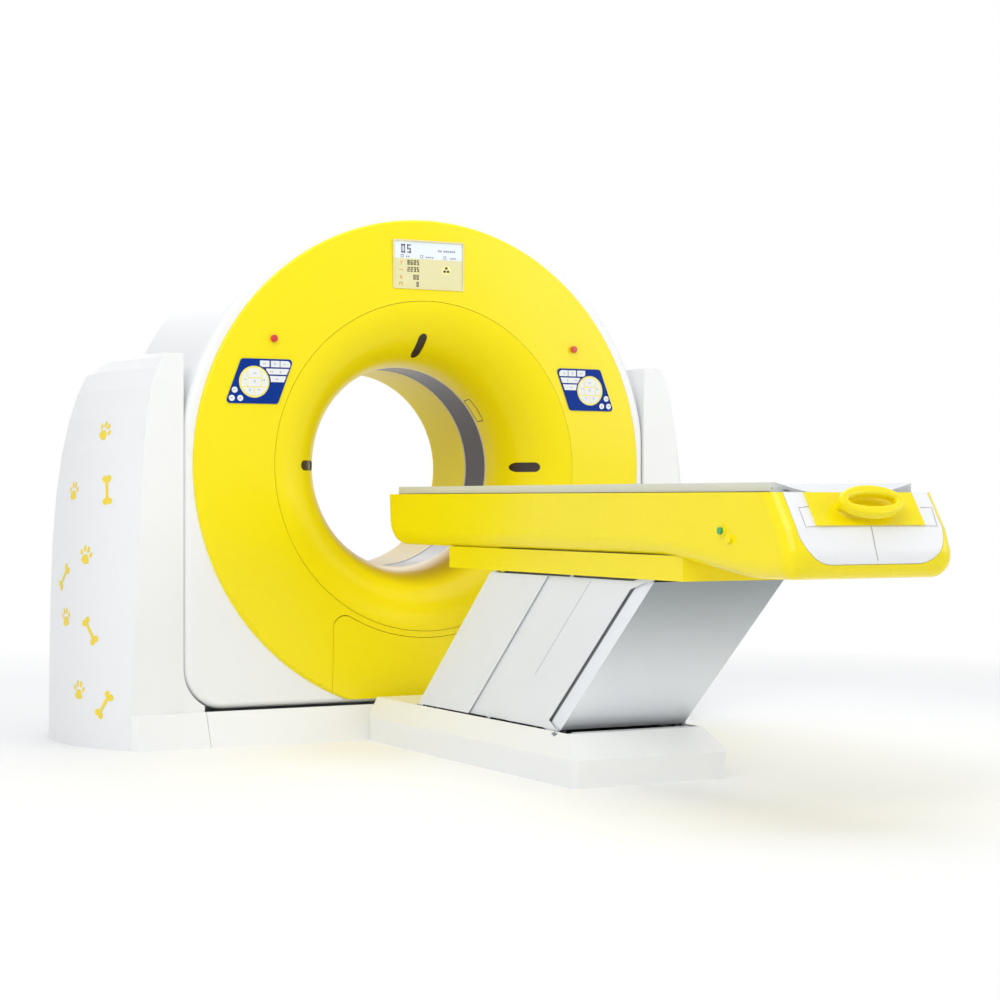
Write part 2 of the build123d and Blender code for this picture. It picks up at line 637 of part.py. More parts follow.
def collimator():
    top = FOCUS_R - TUBE_R - 1
    low = BORE_R + COLLIMATOR_IN
    case = box(-90, 90, -60, ROTOR_PLATE_Y - SEAT, low, top)
    beam = box(-60, 60, -12, 12, low - 1, top + 1)
    return on_rotor(0, case - beam)


def hv_generator():
    back = ROTOR_PLATE_Y - SEAT
    low = BORE_R + HV_IN
    case = box(-HV_W / 2, HV_W / 2, back - HV_D, back, low, low + HV_H)
    for n in range(-3, 4):
        x = n * HV_W / 8
        case += box(x - 4, x + 4, back - HV_D + 10, back - 30, low + HV_H - 1,
                    low + HV_H + HV_FIN)
    return on_rotor(78, case)


def detector_array():
    """Detector modules on an arc about the tube's focus."""
    radius = FOCUS_R + DETECTOR_R
    arc = Pos(0, FOCUS_R) * (Circle(radius + 60) - Circle(radius))
    spread = radius * tan(radians(26))
    wedge = polygon((0, FOCUS_R), (-spread * 1.25, FOCUS_R - radius * 1.25),
                    (spread * 1.25, FOCUS_R - radius * 1.25))
    body = across(arc & wedge, -45, ROTOR_PLATE_Y - 0.3)
    slots = [Pos(0, -46, FOCUS_R) * Rot(0, a, 0) * Pos(0, 0, -radius - 2) * Box(3, 22, 8)
             for a in range(-24, 25, 4)]
    for slot in slots:
        body -= slot
    return on_rotor(0, body)


def slip_ring():
    y0 = ROTOR_PLATE_Y + ROTOR_PLATE_T + BEARING_W + 0.6
    base = tube_y(BEARING_IN_R + 30, BEARING_IN_R - 30, y0, y0 + 50)
    for n in range(3):
        base -= tube_y(BEARING_IN_R + 31, BEARING_IN_R + 26, y0 + 6 + 11 * n, y0 + 12 + 11 * n)
    return base


def pulley_centre():
    """The drive pulley sits inside the drum, low on the right."""
    reach = BELT_R + PULLEY_OUT
    angle = radians(PULLEY_ANGLE)
    return reach * cos(angle), BORE_Z + reach * sin(angle)


def belt_y():
    return ROTOR_PLATE_Y + ROTOR_PLATE_T + 9


def motor_pulley():
    x, z = pulley_centre()
    y0 = belt_y()
    wheel = rod_y(MOTOR_PULLEY_R, y0 - 2, y0 + BELT_W + 2, x, z)
    flange = rod_y(MOTOR_PULLEY_R + 5, y0 - 5, y0 - 2, x, z)
    shaft = rod_y(12, y0, y0 + 90, x, z)
    return wheel + flange + shaft


def rotor_motor():
    x, z = pulley_centre()
    y0 = ROTOR_PLATE_Y + ROTOR_PLATE_T + BEARING_W + 10 + FRAME_PLATE_T + 0.3
    body = rod_y(55, y0, y0 + 110, x, z)
    flange = box(x - 62, x + 62, y0, y0 + 12, z - 62, z + 62)
    return body + flange - rod_y(12 + RUN, y0 - 1, y0 + 60, x, z)


def drive_belt():
    """A flat belt round the rotor's track and the motor pulley."""
    x, z = pulley_centre()
    r1, r2 = BELT_R + 0.3, MOTOR_PULLEY_R + 0.3
    y0 = belt_y()

    def loop(a, b):
        reach = sqrt(x * x + (z - BORE_Z) ** 2)
        lift = asin((a - b) / reach)
        cos_l, sin_l = cos(lift), sin(lift)
        side = [(a * sin_l, a * cos_l), (reach + b * sin_l, b * cos_l),
                (reach + b * sin_l, -b * cos_l), (a * sin_l, -a * cos_l)]
        shape = Circle(a) + Pos(reach, 0) * Circle(b) + polygon(*side)
        return Pos(0, BORE_Z) * Rot(0, 0, PULLEY_ANGLE) * shape

    return across(loop(r1 + BELT_T, r2 + BELT_T) - loop(r1, r2), y0, y0 + BELT_W)


# The fixed gantry base

def pillar_plates():
    """One pillar as four plates: foot, two legs and the head under the tilt bearing."""
    low, high = BASE_T, BORE_Z - PILLAR_DROP
    foot, head = low + 60, high - 118
    near = {"y0": -230.0, "y1": -70.0, "core0": -150.0, "core1": -35.0}
    far = {"y0": 250.0, "y1": 70.0, "core0": 160.0, "core1": 35.0}

    def edge(side, z):
        return side["y0"] + (side["y1"] - side["y0"]) * (z - low) / (high - low)

    shapes = [polygon((edge(near, low), low), (edge(far, low), low), (edge(far, foot), foot),
                      (edge(near, foot), foot)),
              polygon((edge(near, head), head), (edge(far, head), head), (edge(far, high), high),
                      (edge(near, high), high))]
    for side in (near, far):
        shapes.append(polygon((edge(side, foot), foot), (side["core0"], foot),
                              (side["core1"], head), (edge(side, head), head)))
    x0 = PILLAR_X - PILLAR_IN
    return [sideways(shape, x0, x0 + PILLAR_T) for shape in shapes]


def gantry_base_frame():
    """A floor frame of welded plates with the two pillars that carry the tilt bearings."""
    near, far = BASE_FRONT_Y, REAR_PLINTH_Y + REAR_PLINTH_STAND - SEAT
    window_near, window_far = BASE_WINDOW_NEAR_Y, BASE_WINDOW_FAR_Y
    sills = [box(-PLINTH_SEAM_X, PLINTH_SEAM_X, near, window_near, 0, BASE_T),
             box(-PLINTH_SEAM_X, PLINTH_SEAM_X, window_far, far, 0, BASE_T)]
    for n, y in ((0, BASE_BOLT_NEAR_Y), (1, BASE_BOLT_FAR_Y)):
        for x in (-BASE_BOLT_X, BASE_BOLT_X):
            sills[n] -= Pos(x, y, BASE_T / 2) * Cylinder(BOLT_R, BASE_T + 2)
    rib = box(-BASE_RIB_X, BASE_RIB_X, window_near, window_far, 0, BASE_T)
    half = [box(BASE_WINDOW_X, PLINTH_SEAM_X, window_near, window_far, 0, BASE_T),
            box(PLINTH_SEAM_X, PILLAR_X + PILLAR_IN + 20, near + 15, BASE_BACK_Y, 0, BASE_T),
            *pillar_plates()]
    plates = sills + [rib] + half + [mirror(plate, about=Plane.YZ) for plate in half]
    return Compound(children=[plate.solid() for plate in plates])


def tilt_bearings():
    half, low = TRUNNION_R + 35, BORE_Z - PILLAR_DROP + SEAT
    block = box(PILLAR_X - PILLAR_IN + 5, PILLAR_X + 30, -half, half, low, BORE_Z + TRUNNION_R + 25)
    block = fillet(block.edges().filter_by(Axis.X).group_by(Axis.Z)[-1], 40)
    return both_sides(block - rod_x(TRUNNION_R + RUN, PILLAR_X - 50, PILLAR_X + 50, 0, BORE_Z))


def tilt_gearmotor():
    """A shaft-mounted gear unit on the left trunnion, with its motor hanging beside the pillar."""
    x0 = PILLAR_X + 35.3
    case = sideways(Pos(0, BORE_Z) * Circle(75), x0, x0 + 70)
    case -= rod_x(TRUNNION_R + RUN, x0 - 1, PILLAR_X + 76, 0, BORE_Z)
    arm = box(x0, x0 + 70, -60, 60, BORE_Z - 200, BORE_Z - 50)
    motor = Pos(x0 + 41, 0, BORE_Z - 290) * Cylinder(34, 190)
    return mirror(case + arm + motor, about=Plane.YZ)


def tower_section(z, inset):
    """One level of the right tower: flat inside, bowed outside, drawn in towards the top."""
    rise = z / TOWER_TOP_Z
    front = TOWER_FRONT_X - TOWER_DRAFT * z - TOWER_EASE * rise ** 14 - inset
    bulge = TOWER_TOP_BULGE + TOWER_SWELL * (1 - min(rise, 1) ** 4) ** 0.65 - inset
    y_front = DRUM_FRONT_Y - TOWER_NOSE * (1 - 0.8 * rise) + inset
    inner = DRUM_HALF_W + TILT_GAP + inset
    back_x = front + (bulge - front) * 0.4
    back_y = TOWER_BACK_Y - inset
    inner_y = DRUM_FRONT_Y + inset
    return Pos(0, 0, z) * make_face(Curve() + [
        Line((inner, back_y), (inner, inner_y)),
        Line((inner, inner_y), (front, y_front)),
        ThreePointArc((front, y_front), (bulge, TOWER_BULGE_Y), (back_x, back_y)),
        Line((back_x, back_y), (inner, back_y)),
    ])


def tower_solid(inset):
    """Bands between levels that crowd together near the rounded top."""
    count = 10
    top = TOWER_TOP_Z - inset
    heights = [top * (1 - (1 - n / count) ** 2) for n in range(count + 1)]
    return loft([tower_section(z, inset) for z in heights], ruled=True)


def tower_toe(inset):
    """The foot of the right tower leans forward like the plinth beside it."""
    corner = TOWER_FRONT_X - 28
    floor = [(PLINTH_SEAM_X, -PLINTH_LEAN), (corner, -PLINTH_LEAN + 6),
             (TOWER_FRONT_X - 1 - inset, -26)]
    top = [(PLINTH_SEAM_X, -8), (corner, -20), (TOWER_FRONT_X - 7 - inset, -19)]
    y = PLINTH_BACK_Y
    faces = []
    for z, edge in ((0, floor), (PLINTH_Z, top)):
        points = [(PLINTH_SEAM_X, y), *[(px, y + py + inset) for px, py in edge], (edge[-1][0], y)]
        faces.append(Pos(0, 0, z - inset) * polygon(*points))
    return loft(faces, ruled=True)


def side_cover():
    """The right tower's cover, with the skirt that fills the corner below the drum."""
    tower = tower_solid(0) - tower_solid(COVER_T)
    inner_x = DRUM_HALF_W + TILT_GAP
    toe = (tower_toe(0) - tower_toe(COVER_T)) & box(0, TOWER_FRONT_X + 40, -500, 0, 0, PLINTH_Z)
    corner_x = DRUM_HALF_W - DRUM_CORNER_R
    infill = box(corner_x, inner_x + 1, DRUM_FRONT_Y, DRUM_FRONT_Y + 3.5, PLINTH_Z - 6,
                 DRUM_BOTTOM_Z + DRUM_CORNER_R + 20)
    infill -= across(drum_outline(-TILT_GAP), DRUM_FRONT_Y - 1, DRUM_FRONT_Y + 9)
    infill &= box(PLINTH_SEAM_X, inner_x + 2, DRUM_FRONT_Y - 1, DRUM_FRONT_Y + 9, 0, 400)
    ledge = box(PLINTH_SEAM_X, inner_x + 1, DRUM_FRONT_Y - 5, DRUM_FRONT_Y + 3.5, PLINTH_Z - 6,
                PLINTH_Z)
    cover = tower + toe + ledge + infill
    cover -= box(inner_x - 1, inner_x + COVER_T + 1, BASE_FRONT_Y - 1, BASE_BACK_Y + 1, -1,
                 BASE_T + SEAT)
    return cover - rod_x(TRUNNION_R + 12, inner_x - 1, inner_x + COVER_T + 1, 0, BORE_Z)


def plinth_solid(inset):
    """The front plinth's outline: a face that leans forward to the floor and is bowed in plan."""
    half = PLINTH_SEAM_X - SEAM_GAP - inset
    back = PLINTH_BACK_Y
    faces = []
    for z, lean, bow in ((0, PLINTH_LEAN, PLINTH_BOW), (PLINTH_Z, 8, 3)):
        edge = back - lean + inset
        face = make_face(Curve() + [
            Line((-half, back), (-half, edge)),
            ThreePointArc((-half, edge), (0, edge - bow), (half, edge)),
            Line((half, edge), (half, back)),
            Line((half, back), (-half, back)),
        ])
        faces.append(Pos(0, 0, z - inset) * face)
    return loft(faces, ruled=True)


def front_plinth_cover():
    outer = plinth_solid(0)
    room = box(-PLINTH_SEAM_X, PLINTH_SEAM_X, -600, 0, 0, PLINTH_Z)
    skin = (outer - plinth_solid(COVER_T)) & room
    back = PLINTH_BACK_Y
    for x in (-600, -200, 200, 600):
        skin += outer & box(x - 2, x + 2, back - 100, back, 0, PLINTH_Z)
    return skin


def rear_plinth_cover():
    y0 = REAR_PLINTH_Y
    half = DRUM_HALF_W + TILT_GAP
    y1 = y0 + REAR_PLINTH_STAND
    back = box(-half, half, y1, y1 + COVER_T, 0, PLINTH_Z)
    lip = box(-half, half, y0, y1 + 1, PLINTH_Z - COVER_T, PLINTH_Z)
    return back + lip


# The table's body

def belly_profile():
    """The table body from the side: rounded nose, level belly, deeper and slanted foot end."""
    top, belly, foot_belly = TABLE_TOP_Z, TABLE_BELLY_Z, TABLE_FOOT_BELLY_Z
    nose, foot = TABLE_NOSE_Y, TABLE_FOOT_Y
    outline = polygon((nose - 14, top), (nose, top - 20), (nose - 12, belly),
                      (nose - 1700, belly), (nose - 2070, foot_belly), (foot + 14, foot_belly),
                      (foot, foot_belly + FOOT_BEVEL),
                      (foot + FOOT_SLOPE_Y, foot_belly + FOOT_SLOPE_Z), (foot + FOOT_TOP_Y, top))
    rounds = ((nose - 12, belly, 85), (nose - 1700, belly, 700), (nose - 2070, foot_belly, 500),
              (foot + 14, foot_belly, 55), (foot, foot_belly + FOOT_BEVEL, 55))
    for y, z, radius in rounds:
        corner = outline.vertices().sort_by_distance((y, z))[0]
        outline = fillet(corner, radius)
    return outline


def table_solid(inset=0.0):
    half = TABLE_HALF_W - inset
    profile = belly_profile()
    if inset:
        profile = offset(profile, -inset, kind=Kind.INTERSECTION)
    solid = sideways(profile, -half, half)
    round_edges = [e for e in solid.edges() if abs(abs(e.center().X) - half) < 0.1
                   and (e.center().Z < TABLE_BELLY_Z + 40 or e.center().Y < TABLE_FOOT_Y + FOOT_TOP_Y)]
    return fillet(round_edges, TABLE_CORNER_R - inset)


def end_window(grow=0.0):
    """The outline of the end cap inside the yellow rim band."""
    half = TABLE_HALF_W - CAP_BAND + grow
    low = TABLE_FOOT_BELLY_Z + CAP_BAND + 4 - grow
    shape = Pos(0, (low + TABLE_TOP_Z + 40) / 2) * Rectangle(2 * half, TABLE_TOP_Z + 40 - low)
    shape = fillet(shape.vertices().group_by(Axis.Y)[0], CAP_CORNER_R + grow)
    return across(shape, TABLE_FOOT_Y - 20, TABLE_FOOT_Y + 120)


def table_skin():
    inner = table_solid(TABLE_T)
    opening = box(-CRADLE_HALF_W - 6, CRADLE_HALF_W + 6, TABLE_FOOT_Y + FOOT_TOP_Y + 4,
                  TABLE_NOSE_Y + 60, TABLE_TOP_Z - 30, TABLE_TOP_Z + 30)
    half = RAIL_X + RAIL_W / 2 + 3
    gate = box(-half, half, TABLE_NOSE_Y - 60, TABLE_NOSE_Y + 60, rail_top() - 3, TABLE_TOP_Z)
    return table_solid() - inner - opening - gate


def top_end(y_low):
    """Where a line along the arms from the column's lower end meets its upper end."""
    return y_low + (COVER_Z1 - COVER_Z0) * PER_Z


def body_cover(skin):
    cover = skin - end_window(SEAM_GAP / 2)
    slot = box(layer_x(2) - SHEET_T - 2, layer_x(1) + 2, top_end(PANEL_C_NEAR_Y) - 190,
               top_end(PANEL_A_FAR_Y + PANEL_OVERLAP) + 75, TABLE_BELLY_Z - 5, TABLE_BELLY_Z + 6)
    cover = cover - slot - mirror(slot, about=Plane.YZ)
    side = -TABLE_HALF_W
    boss = rod_x(BUTTON_R + 2, side - 9, side + 1, BUTTON_Y - 36, BUTTON_Z - 20)
    seat = rod_x(BUTTON_R + 8, side - 3, side + 1, BUTTON_Y, BUTTON_Z)
    sleeve = rod_x(BUTTON_R + 5, side + 1, side + 26, BUTTON_Y, BUTTON_Z)
    bore = rod_x(BUTTON_R + RUN, side - 20, side + 40, BUTTON_Y, BUTTON_Z)
    return cover + boss + seat + sleeve - bore


def release_button():
    side = -TABLE_HALF_W
    return rod_x(BUTTON_R, side - BUTTON_STAND, side + 14 + BUTTON_TRAVEL, BUTTON_Y, BUTTON_Z)


def end_cap(skin):
    """The white cap of the foot end, with a lip that lies behind the body cover."""
    cap = end_window(-SEAM_GAP / 2)
    core = end_window(-12)
    lip_in = COVER_T + SEAT + 2
    inner = table_solid(lip_in)
    lip = (table_solid(COVER_T + SEAT) - inner) & (end_window(10) - core)
    bridge = (table_solid(COVER_T - 1) - inner) & (cap - core)
    return (skin & cap) + lip + bridge


def end_panel():
    half, low, high = END_PANEL_HALF_W, TABLE_FOOT_BELLY_Z + END_PANEL_LOW, TABLE_TOP_Z
    outer, inner = table_solid(-END_PANEL_T), table_solid(-SEAT)
    window = box(-half, half, TABLE_FOOT_Y - 20, TABLE_FOOT_Y + 120, low, high)
    return (outer - inner) & window


def end_handle():
    """An oval grip with a finger hole on two short feet, parallel to the slanted end panel."""
    low = (TABLE_FOOT_Y + FOOT_SLOPE_Y, TABLE_FOOT_BELLY_Z + FOOT_SLOPE_Z)
    high = (TABLE_FOOT_Y + FOOT_TOP_Y, TABLE_TOP_Z)
    slope = sqrt((high[0] - low[0]) ** 2 + (high[1] - low[1]) ** 2)
    out_y, out_z = -(high[1] - low[1]) / slope, (high[0] - low[0]) / slope
    stand = END_PANEL_T + HANDLE_FOOT + 0.1
    y = (low[0] + high[0]) / 2 + stand * out_y
    z = (low[1] + high[1]) / 2 + stand * out_z
    plane = Plane(origin=(0, y, z), x_dir=(1, 0, 0), z_dir=(0, out_y, out_z))
    ring = Ellipse(HANDLE_HALF_W, HANDLE_HALF_H) - Ellipse(HANDLE_HOLE_HALF_W, HANDLE_HOLE_HALF_H)
    grip = extrude(ring, amount=HANDLE_T)
    grip = fillet(grip.edges(), HANDLE_ROUND)
    foot_x = (HANDLE_HALF_W + HANDLE_HOLE_HALF_W) / 2
    for x in (-foot_x, foot_x):
        grip += Pos(x, 0, (HANDLE_T / 2 - HANDLE_FOOT) / 2) * Cylinder(8, HANDLE_FOOT + HANDLE_T / 2)
    return plane * grip


def cradle():
    top, t = CRADLE_RIM_Z, CRADLE_T
    half = CRADLE_HALF_W
    section = make_face(Curve() + [
        Line((-half, top - t), (-half, top)),
        Line((-half, top), (-half + 10, top)),
        ThreePointArc((-half + 10, top), (0, top - CRADLE_DIP), (half - 10, top)),
        Line((half - 10, top), (half, top)),
        Line((half, top), (half, top - t)),
        ThreePointArc((half, top - t), (0, top - CRADLE_DIP - t), (-half, top - t)),
    ])
    board = across(section, CRADLE_HEAD_Y - CRADLE_LEN, CRADLE_HEAD_Y)
    board = fillet(board.edges().filter_by(Axis.Z), CRADLE_CORNER_R)
    z = rail_top() + 0.3
    runner = box(RAIL_X - RAIL_W / 2, RAIL_X + RAIL_W / 2, CRADLE_HEAD_Y - CRADLE_LEN + 20,
                 CRADLE_HEAD_Y - 20, z, top - t - 12)
    return board + runner + mirror(runner, about=Plane.YZ)


def rail_top():
    return CRADLE_RIM_Z - CRADLE_DIP - CRADLE_T - 12


def table_beam():
    """A folded channel standing on the belly, with the two rails the cradle slides on."""
    half, t = RAIL_X + 18, 4
    top = rail_top() - 14
    low = TABLE_BELLY_Z + TABLE_T
    y0, y1 = TABLE_NOSE_Y - 1640, TABLE_NOSE_Y - 115
    web = box(-half, half, TABLE_FOOT_Y + 140, y1, top - t, top)
    wall = box(half - t, half, y0, y1, low, top)
    foot = box(half - 40, half, y0, y1, low, low + t)
    nose = box(half - t, half, TABLE_FOOT_Y + 140, y0 + 1, top - 60, top)
    rail = box(RAIL_X - RAIL_W / 2, RAIL_X + RAIL_W / 2, TABLE_FOOT_Y + 140, y1, top - 1, rail_top())
    side = wall + foot + nose + rail
    return web + side + mirror(side, about=Plane.YZ)


def cradle_drive():
    """Gear motor with a toothed-belt housing under the cradle, bolted inside the beam."""
    top = rail_top() - 14 - 4
    case = box(-60, 60, -1040, -900, top - 70, top - 0.3)
    motor = rod_y(34, -1200, -1039, 0, top - 36)
    return case + motor


# The parallelogram lift

def sheared(y_near, y_far, z0=COVER_Z0, z1=COVER_Z1):
    """A strip parallel to the arms, from its two lower corners."""
    shift = (z1 - z0) * PER_Z
    return polygon((y_near, z0), (y_far, z0), (y_far + shift, z1), (y_near + shift, z1))


def layer_x(layer):
    """Outer face of a side panel, counted from the outermost layer."""
    return SUBFRAME_HALF_W - 8 - SHEET_STEP * layer


def ear(y, z, to_y, to_z):
    """A lug round a pivot, joined to the sheet's edge."""
    web = polygon((y - EAR_R, z), (y + EAR_R, z), (to_y + EAR_R, to_z), (to_y - EAR_R, to_z))
    return Pos(y, z) * Circle(EAR_R) + web


def sheet_with_ears(outline, pivot_y):
    low = ear(pivot_y, LOW_PIVOT_Z, pivot_y + (COVER_Z0 + 2 - LOW_PIVOT_Z) * PER_Z, COVER_Z0 + 2)
    top_y = pivot_y + ARM_DY
    high = ear(top_y, HIGH_PIVOT_Z, top_y - (HIGH_PIVOT_Z - COVER_Z1 + 2) * PER_Z, COVER_Z1 - 2)
    holes = [Pos(pivot_y, LOW_PIVOT_Z) * Circle(COVER_PIN_R + RUN),
             Pos(top_y, HIGH_PIVOT_Z) * Circle(COVER_PIN_R + RUN)]
    return outline + low + high - holes[0] - holes[1]


def straps(y_far, pivot_y):
    """Lugs that reach from a panel's far corners back to the rear cover's pivots."""
    low_y = y_far + 28 * PER_Z
    low = polygon((pivot_y, LOW_PIVOT_Z - EAR_R), (y_far + 12, COVER_Z0 + 1),
                  (low_y + 12, COVER_Z0 + 28), (pivot_y, LOW_PIVOT_Z + EAR_R))
    top_y = pivot_y + ARM_DY
    corner = top_end(y_far)
    high = polygon((top_y, HIGH_PIVOT_Z + EAR_R), (corner + 12, COVER_Z1 - 1),
                   (corner - 28 * PER_Z + 12, COVER_Z1 - 28), (top_y, HIGH_PIVOT_Z - EAR_R))
    return low + high


def side_panel(y_near, y_far, layer, pivot_y):
    outline = sheared(y_near, y_far)
    if pivot_y < y_far:
        outline += straps(y_far, pivot_y)
    outline = sheet_with_ears(outline, pivot_y)
    return both_sides(sideways(outline, layer_x(layer) - SHEET_T, layer_x(layer)))


def end_cover(face_y, pivot_y, inward, half, flange):
    """A folded cover: an inclined plate with a flange down each side."""
    t = SHEET_T / sin(radians(LEAN))
    plate = sheared(face_y, face_y + inward * t)
    flange_shape = sheared(face_y, face_y + inward * flange)
    body = sideways(plate, -half, half)
    side = sideways(sheet_with_ears(flange_shape, pivot_y), half - SHEET_T, half)
    return body + side + mirror(side, about=Plane.YZ)


def column_front_cover():
    return end_cover(COLUMN_NEAR_Y, FRONT_PIVOT_Y, -1, FRONT_COVER_X, FRONT_FLANGE)


def column_rear_cover():
    return end_cover(COLUMN_FAR_Y, REAR_PIVOT_Y, 1, REAR_COVER_X, REAR_FLANGE)


PANELS = {
    "a": (COLUMN_NEAR_Y, PANEL_A_FAR_Y, 0, FRONT_PIVOT_Y),
    "b": (PANEL_A_FAR_Y + PANEL_OVERLAP, PANEL_C_NEAR_Y - PANEL_OVERLAP, 2, MIDDLE_PIVOT_Y),
    "c": (PANEL_C_NEAR_Y, PANEL_C_FAR_Y, 1, REAR_PIVOT_Y),
}


def cover_pivots():
    """The three pivots of the column covers with the outermost sheet that each one carries."""
    return [(pivot, layer_x(layer)) for _, _, layer, pivot in PANELS.values()]


def cover_pins(z, shift):
    """Stub pins on the side plates, each ending just outside its own sheet."""
    x0 = SIDE_PLATE_X + SIDE_PLATE_T / 2 - 1
    return [rod_x(COVER_PIN_R, x0, outer + 0.4, y + shift, z) for y, outer in cover_pivots()]


def lift_arm(pivot_y, cross_at, pin_r):
    """Two flat bars and the tube between them."""
    top_y = pivot_y + ARM_DY
    bar = Pos((pivot_y + top_y) / 2, (LOW_PIVOT_Z + HIGH_PIVOT_Z) / 2) * Rot(0, 0, -LEAN) \
        * SlotCenterToCenter(ARM_L, ARM_W)
    for y, z in ((pivot_y, LOW_PIVOT_Z), (top_y, HIGH_PIVOT_Z)):
        bar -= Pos(y, z) * Circle(ARM_PIN_R + RUN)
    side = sideways(bar, ARM_X - ARM_T / 2, ARM_X + ARM_T / 2)
    along = radians(180 - LEAN)
    y, z = pivot_y + cross_at * cos(along), LOW_PIVOT_Z + cross_at * sin(along)
    cross = rod_x(pin_r, -ARM_X, ARM_X, y, z)
    return side + mirror(side, about=Plane.YZ) + cross


def arm_pins(z, shift):
    x0, x1 = ARM_X - ARM_T / 2 - 6, SIDE_PLATE_X + SIDE_PLATE_T / 2 - 1
    pins = [rod_x(ARM_PIN_R, x0, x1, y + shift, z) for y in (FRONT_ARM_Y, REAR_ARM_Y)]
    return both_sides(Compound(children=[p.solid() for p in pins]))


def table_base_frame():
    """Floor plate, pivot side plates, cover pins and the actuator's foot."""
    x0, x1 = SIDE_PLATE_X - SIDE_PLATE_T / 2, SIDE_PLATE_X + SIDE_PLATE_T / 2
    plate = box(-200, 200, -1700, -520, 0, 12)
    reach = BASE_HALF_W - COVER_T - SEAT
    for y in (-600, -1660):
        plate += box(-reach, reach, y - 20, y + 20, 0, 12)
    outline = polygon((-650, 11), (-650, 60), (-690, 132), (-1640, 132), (-1690, 60), (-1690, 11))
    for y in (FRONT_ARM_Y, REAR_ARM_Y):
        outline += Pos(y, LOW_PIVOT_Z) * Circle(26)
    pins = cover_pins(LOW_PIVOT_Z, 0)
    for y, _ in cover_pivots():
        outline += Pos(y, LOW_PIVOT_Z) * Circle(11)
    for y in (FRONT_ARM_Y, REAR_ARM_Y):
        outline -= Pos(y, LOW_PIVOT_Z) * Circle(ARM_PIN_R + 0.02)
    side = sideways(outline, x0, x1)
    for pin in pins:
        side += pin
    ear_plate = polygon((ACT_Y - 35, 11), (ACT_Y - 18, ACT_Z + 8), (ACT_Y + 18, ACT_Z + 8),
                        (ACT_Y + 35, 11))
    lug = sideways(ear_plate + Pos(ACT_Y, ACT_Z) * Circle(20), 32, 42)
    side += lug
    frame = plate + side + mirror(side, about=Plane.YZ)
    frame += rod_x(10, -33, 33, ACT_Y, ACT_Z)
    for x in (-130, 130):
        for y in (-600, -1620):
            frame -= Pos(x, y, 6) * Cylinder(9, 14)
    return frame


def table_base_cover():
    """A low moulded cover with sloping shoulders, open under the column."""
    def hull(inset):
        half, top = BASE_HALF_W - inset, BASE_TOP_Z - inset
        near, far = BASE_NEAR_Y - inset, BASE_FAR_Y + inset
        low = Pos(0, (near + far) / 2, BASE_SIDE_Z) * Rectangle(2 * half, near - far)
        up_half, up_far = half - 34, far + 85
        high = Pos(0, (near + up_far) / 2, top) * Rectangle(2 * up_half, near - up_far)
        floor = box(-half, half, far, near, -inset, BASE_SIDE_Z)
        return floor + loft([low, high])
    outer = fillet(hull(0).edges().filter_by(Axis.Z), BASE_CORNER_R)
    inner = fillet(hull(COVER_T).edges().filter_by(Axis.Z), BASE_CORNER_R - COVER_T)
    column = box(-COLUMN_SLOT_X, COLUMN_SLOT_X, COLUMN_FAR_Y - 34, COLUMN_NEAR_Y + 24, 100, 200)
    notch = box(192, COLUMN_SLOT_X, COLUMN_FAR_Y - 60, COLUMN_FAR_Y, 118, 200)
    return outer - inner - column - notch - mirror(notch, about=Plane.YZ)


def lift_head_frame():
    """The frame under the table body: side plates, a top plate and the upper pins' seats."""
    x0, x1 = SIDE_PLATE_X - SIDE_PLATE_T / 2, SIDE_PLATE_X + SIDE_PLATE_T / 2
    top = TABLE_BELLY_Z - 0.3
    y0, y1 = REAR_PIVOT_Y + ARM_DY - 30, FRONT_PIVOT_Y + ARM_DY + 30
    outline = polygon((y0, HIGH_PIVOT_Z + 10), (y0, top), (y1, top), (y1, HIGH_PIVOT_Z + 10))
    for y, _ in cover_pivots():
        outline += Pos(y + ARM_DY, HIGH_PIVOT_Z) * Circle(11)
    for y in (FRONT_ARM_Y, REAR_ARM_Y):
        outline += Pos(y + ARM_DY, HIGH_PIVOT_Z) * Circle(30) & \
            Pos(y + ARM_DY, HIGH_PIVOT_Z + 15) * Rectangle(60, 60)
    for y in (FRONT_ARM_Y, REAR_ARM_Y):
        outline -= Pos(y + ARM_DY, HIGH_PIVOT_Z) * Circle(ARM_PIN_R + 0.02)
    side = sideways(outline, x0, x1)
    for pin in cover_pins(HIGH_PIVOT_Z, ARM_DY):
        side += pin
    plate = box(-x0 - 1, x0 + 1, y0, y1, top - 8, top)
    return plate + side + mirror(side, about=Plane.YZ)


def subframe_cover():
    """The yellow skirt round the lift head, open below."""
    t = 3.0
    top = TABLE_BELLY_Z - 0.3
    near, far = SUBFRAME_NEAR_Y, SUBFRAME_FAR_Y
    outer = polygon((near, SUBFRAME_Z), (near, top), (far, top), (far, SUBFRAME_Z))
    inner = polygon((near - t, SUBFRAME_Z - 1), (near - t, top + 1), (far + t, top + 1),
                    (far + t, SUBFRAME_Z - 1))
    half = SUBFRAME_HALF_W
    skirt = sideways(outer, -half, half) - sideways(inner, -half + t, half - t)
    return skirt - table_solid(-0.3)


def actuator_angle():
    along = radians(180 - LEAN)
    y = FRONT_ARM_Y + ACT_REACH * cos(along) - ACT_Y
    z = LOW_PIVOT_Z + ACT_REACH * sin(along) - ACT_Z
    return y, z


def actuator_frame():
    """A plane at the actuator's foot whose X axis points along its rod."""
    y, z = actuator_angle()
    return Plane(origin=(0, ACT_Y, ACT_Z), x_dir=(0, y, z), z_dir=(1, 0, 0))


def rod_start():
    """Where the rod ends inside the barrel at the modelled height, from the foot's pivot."""
    return ACT_STROKE + 90


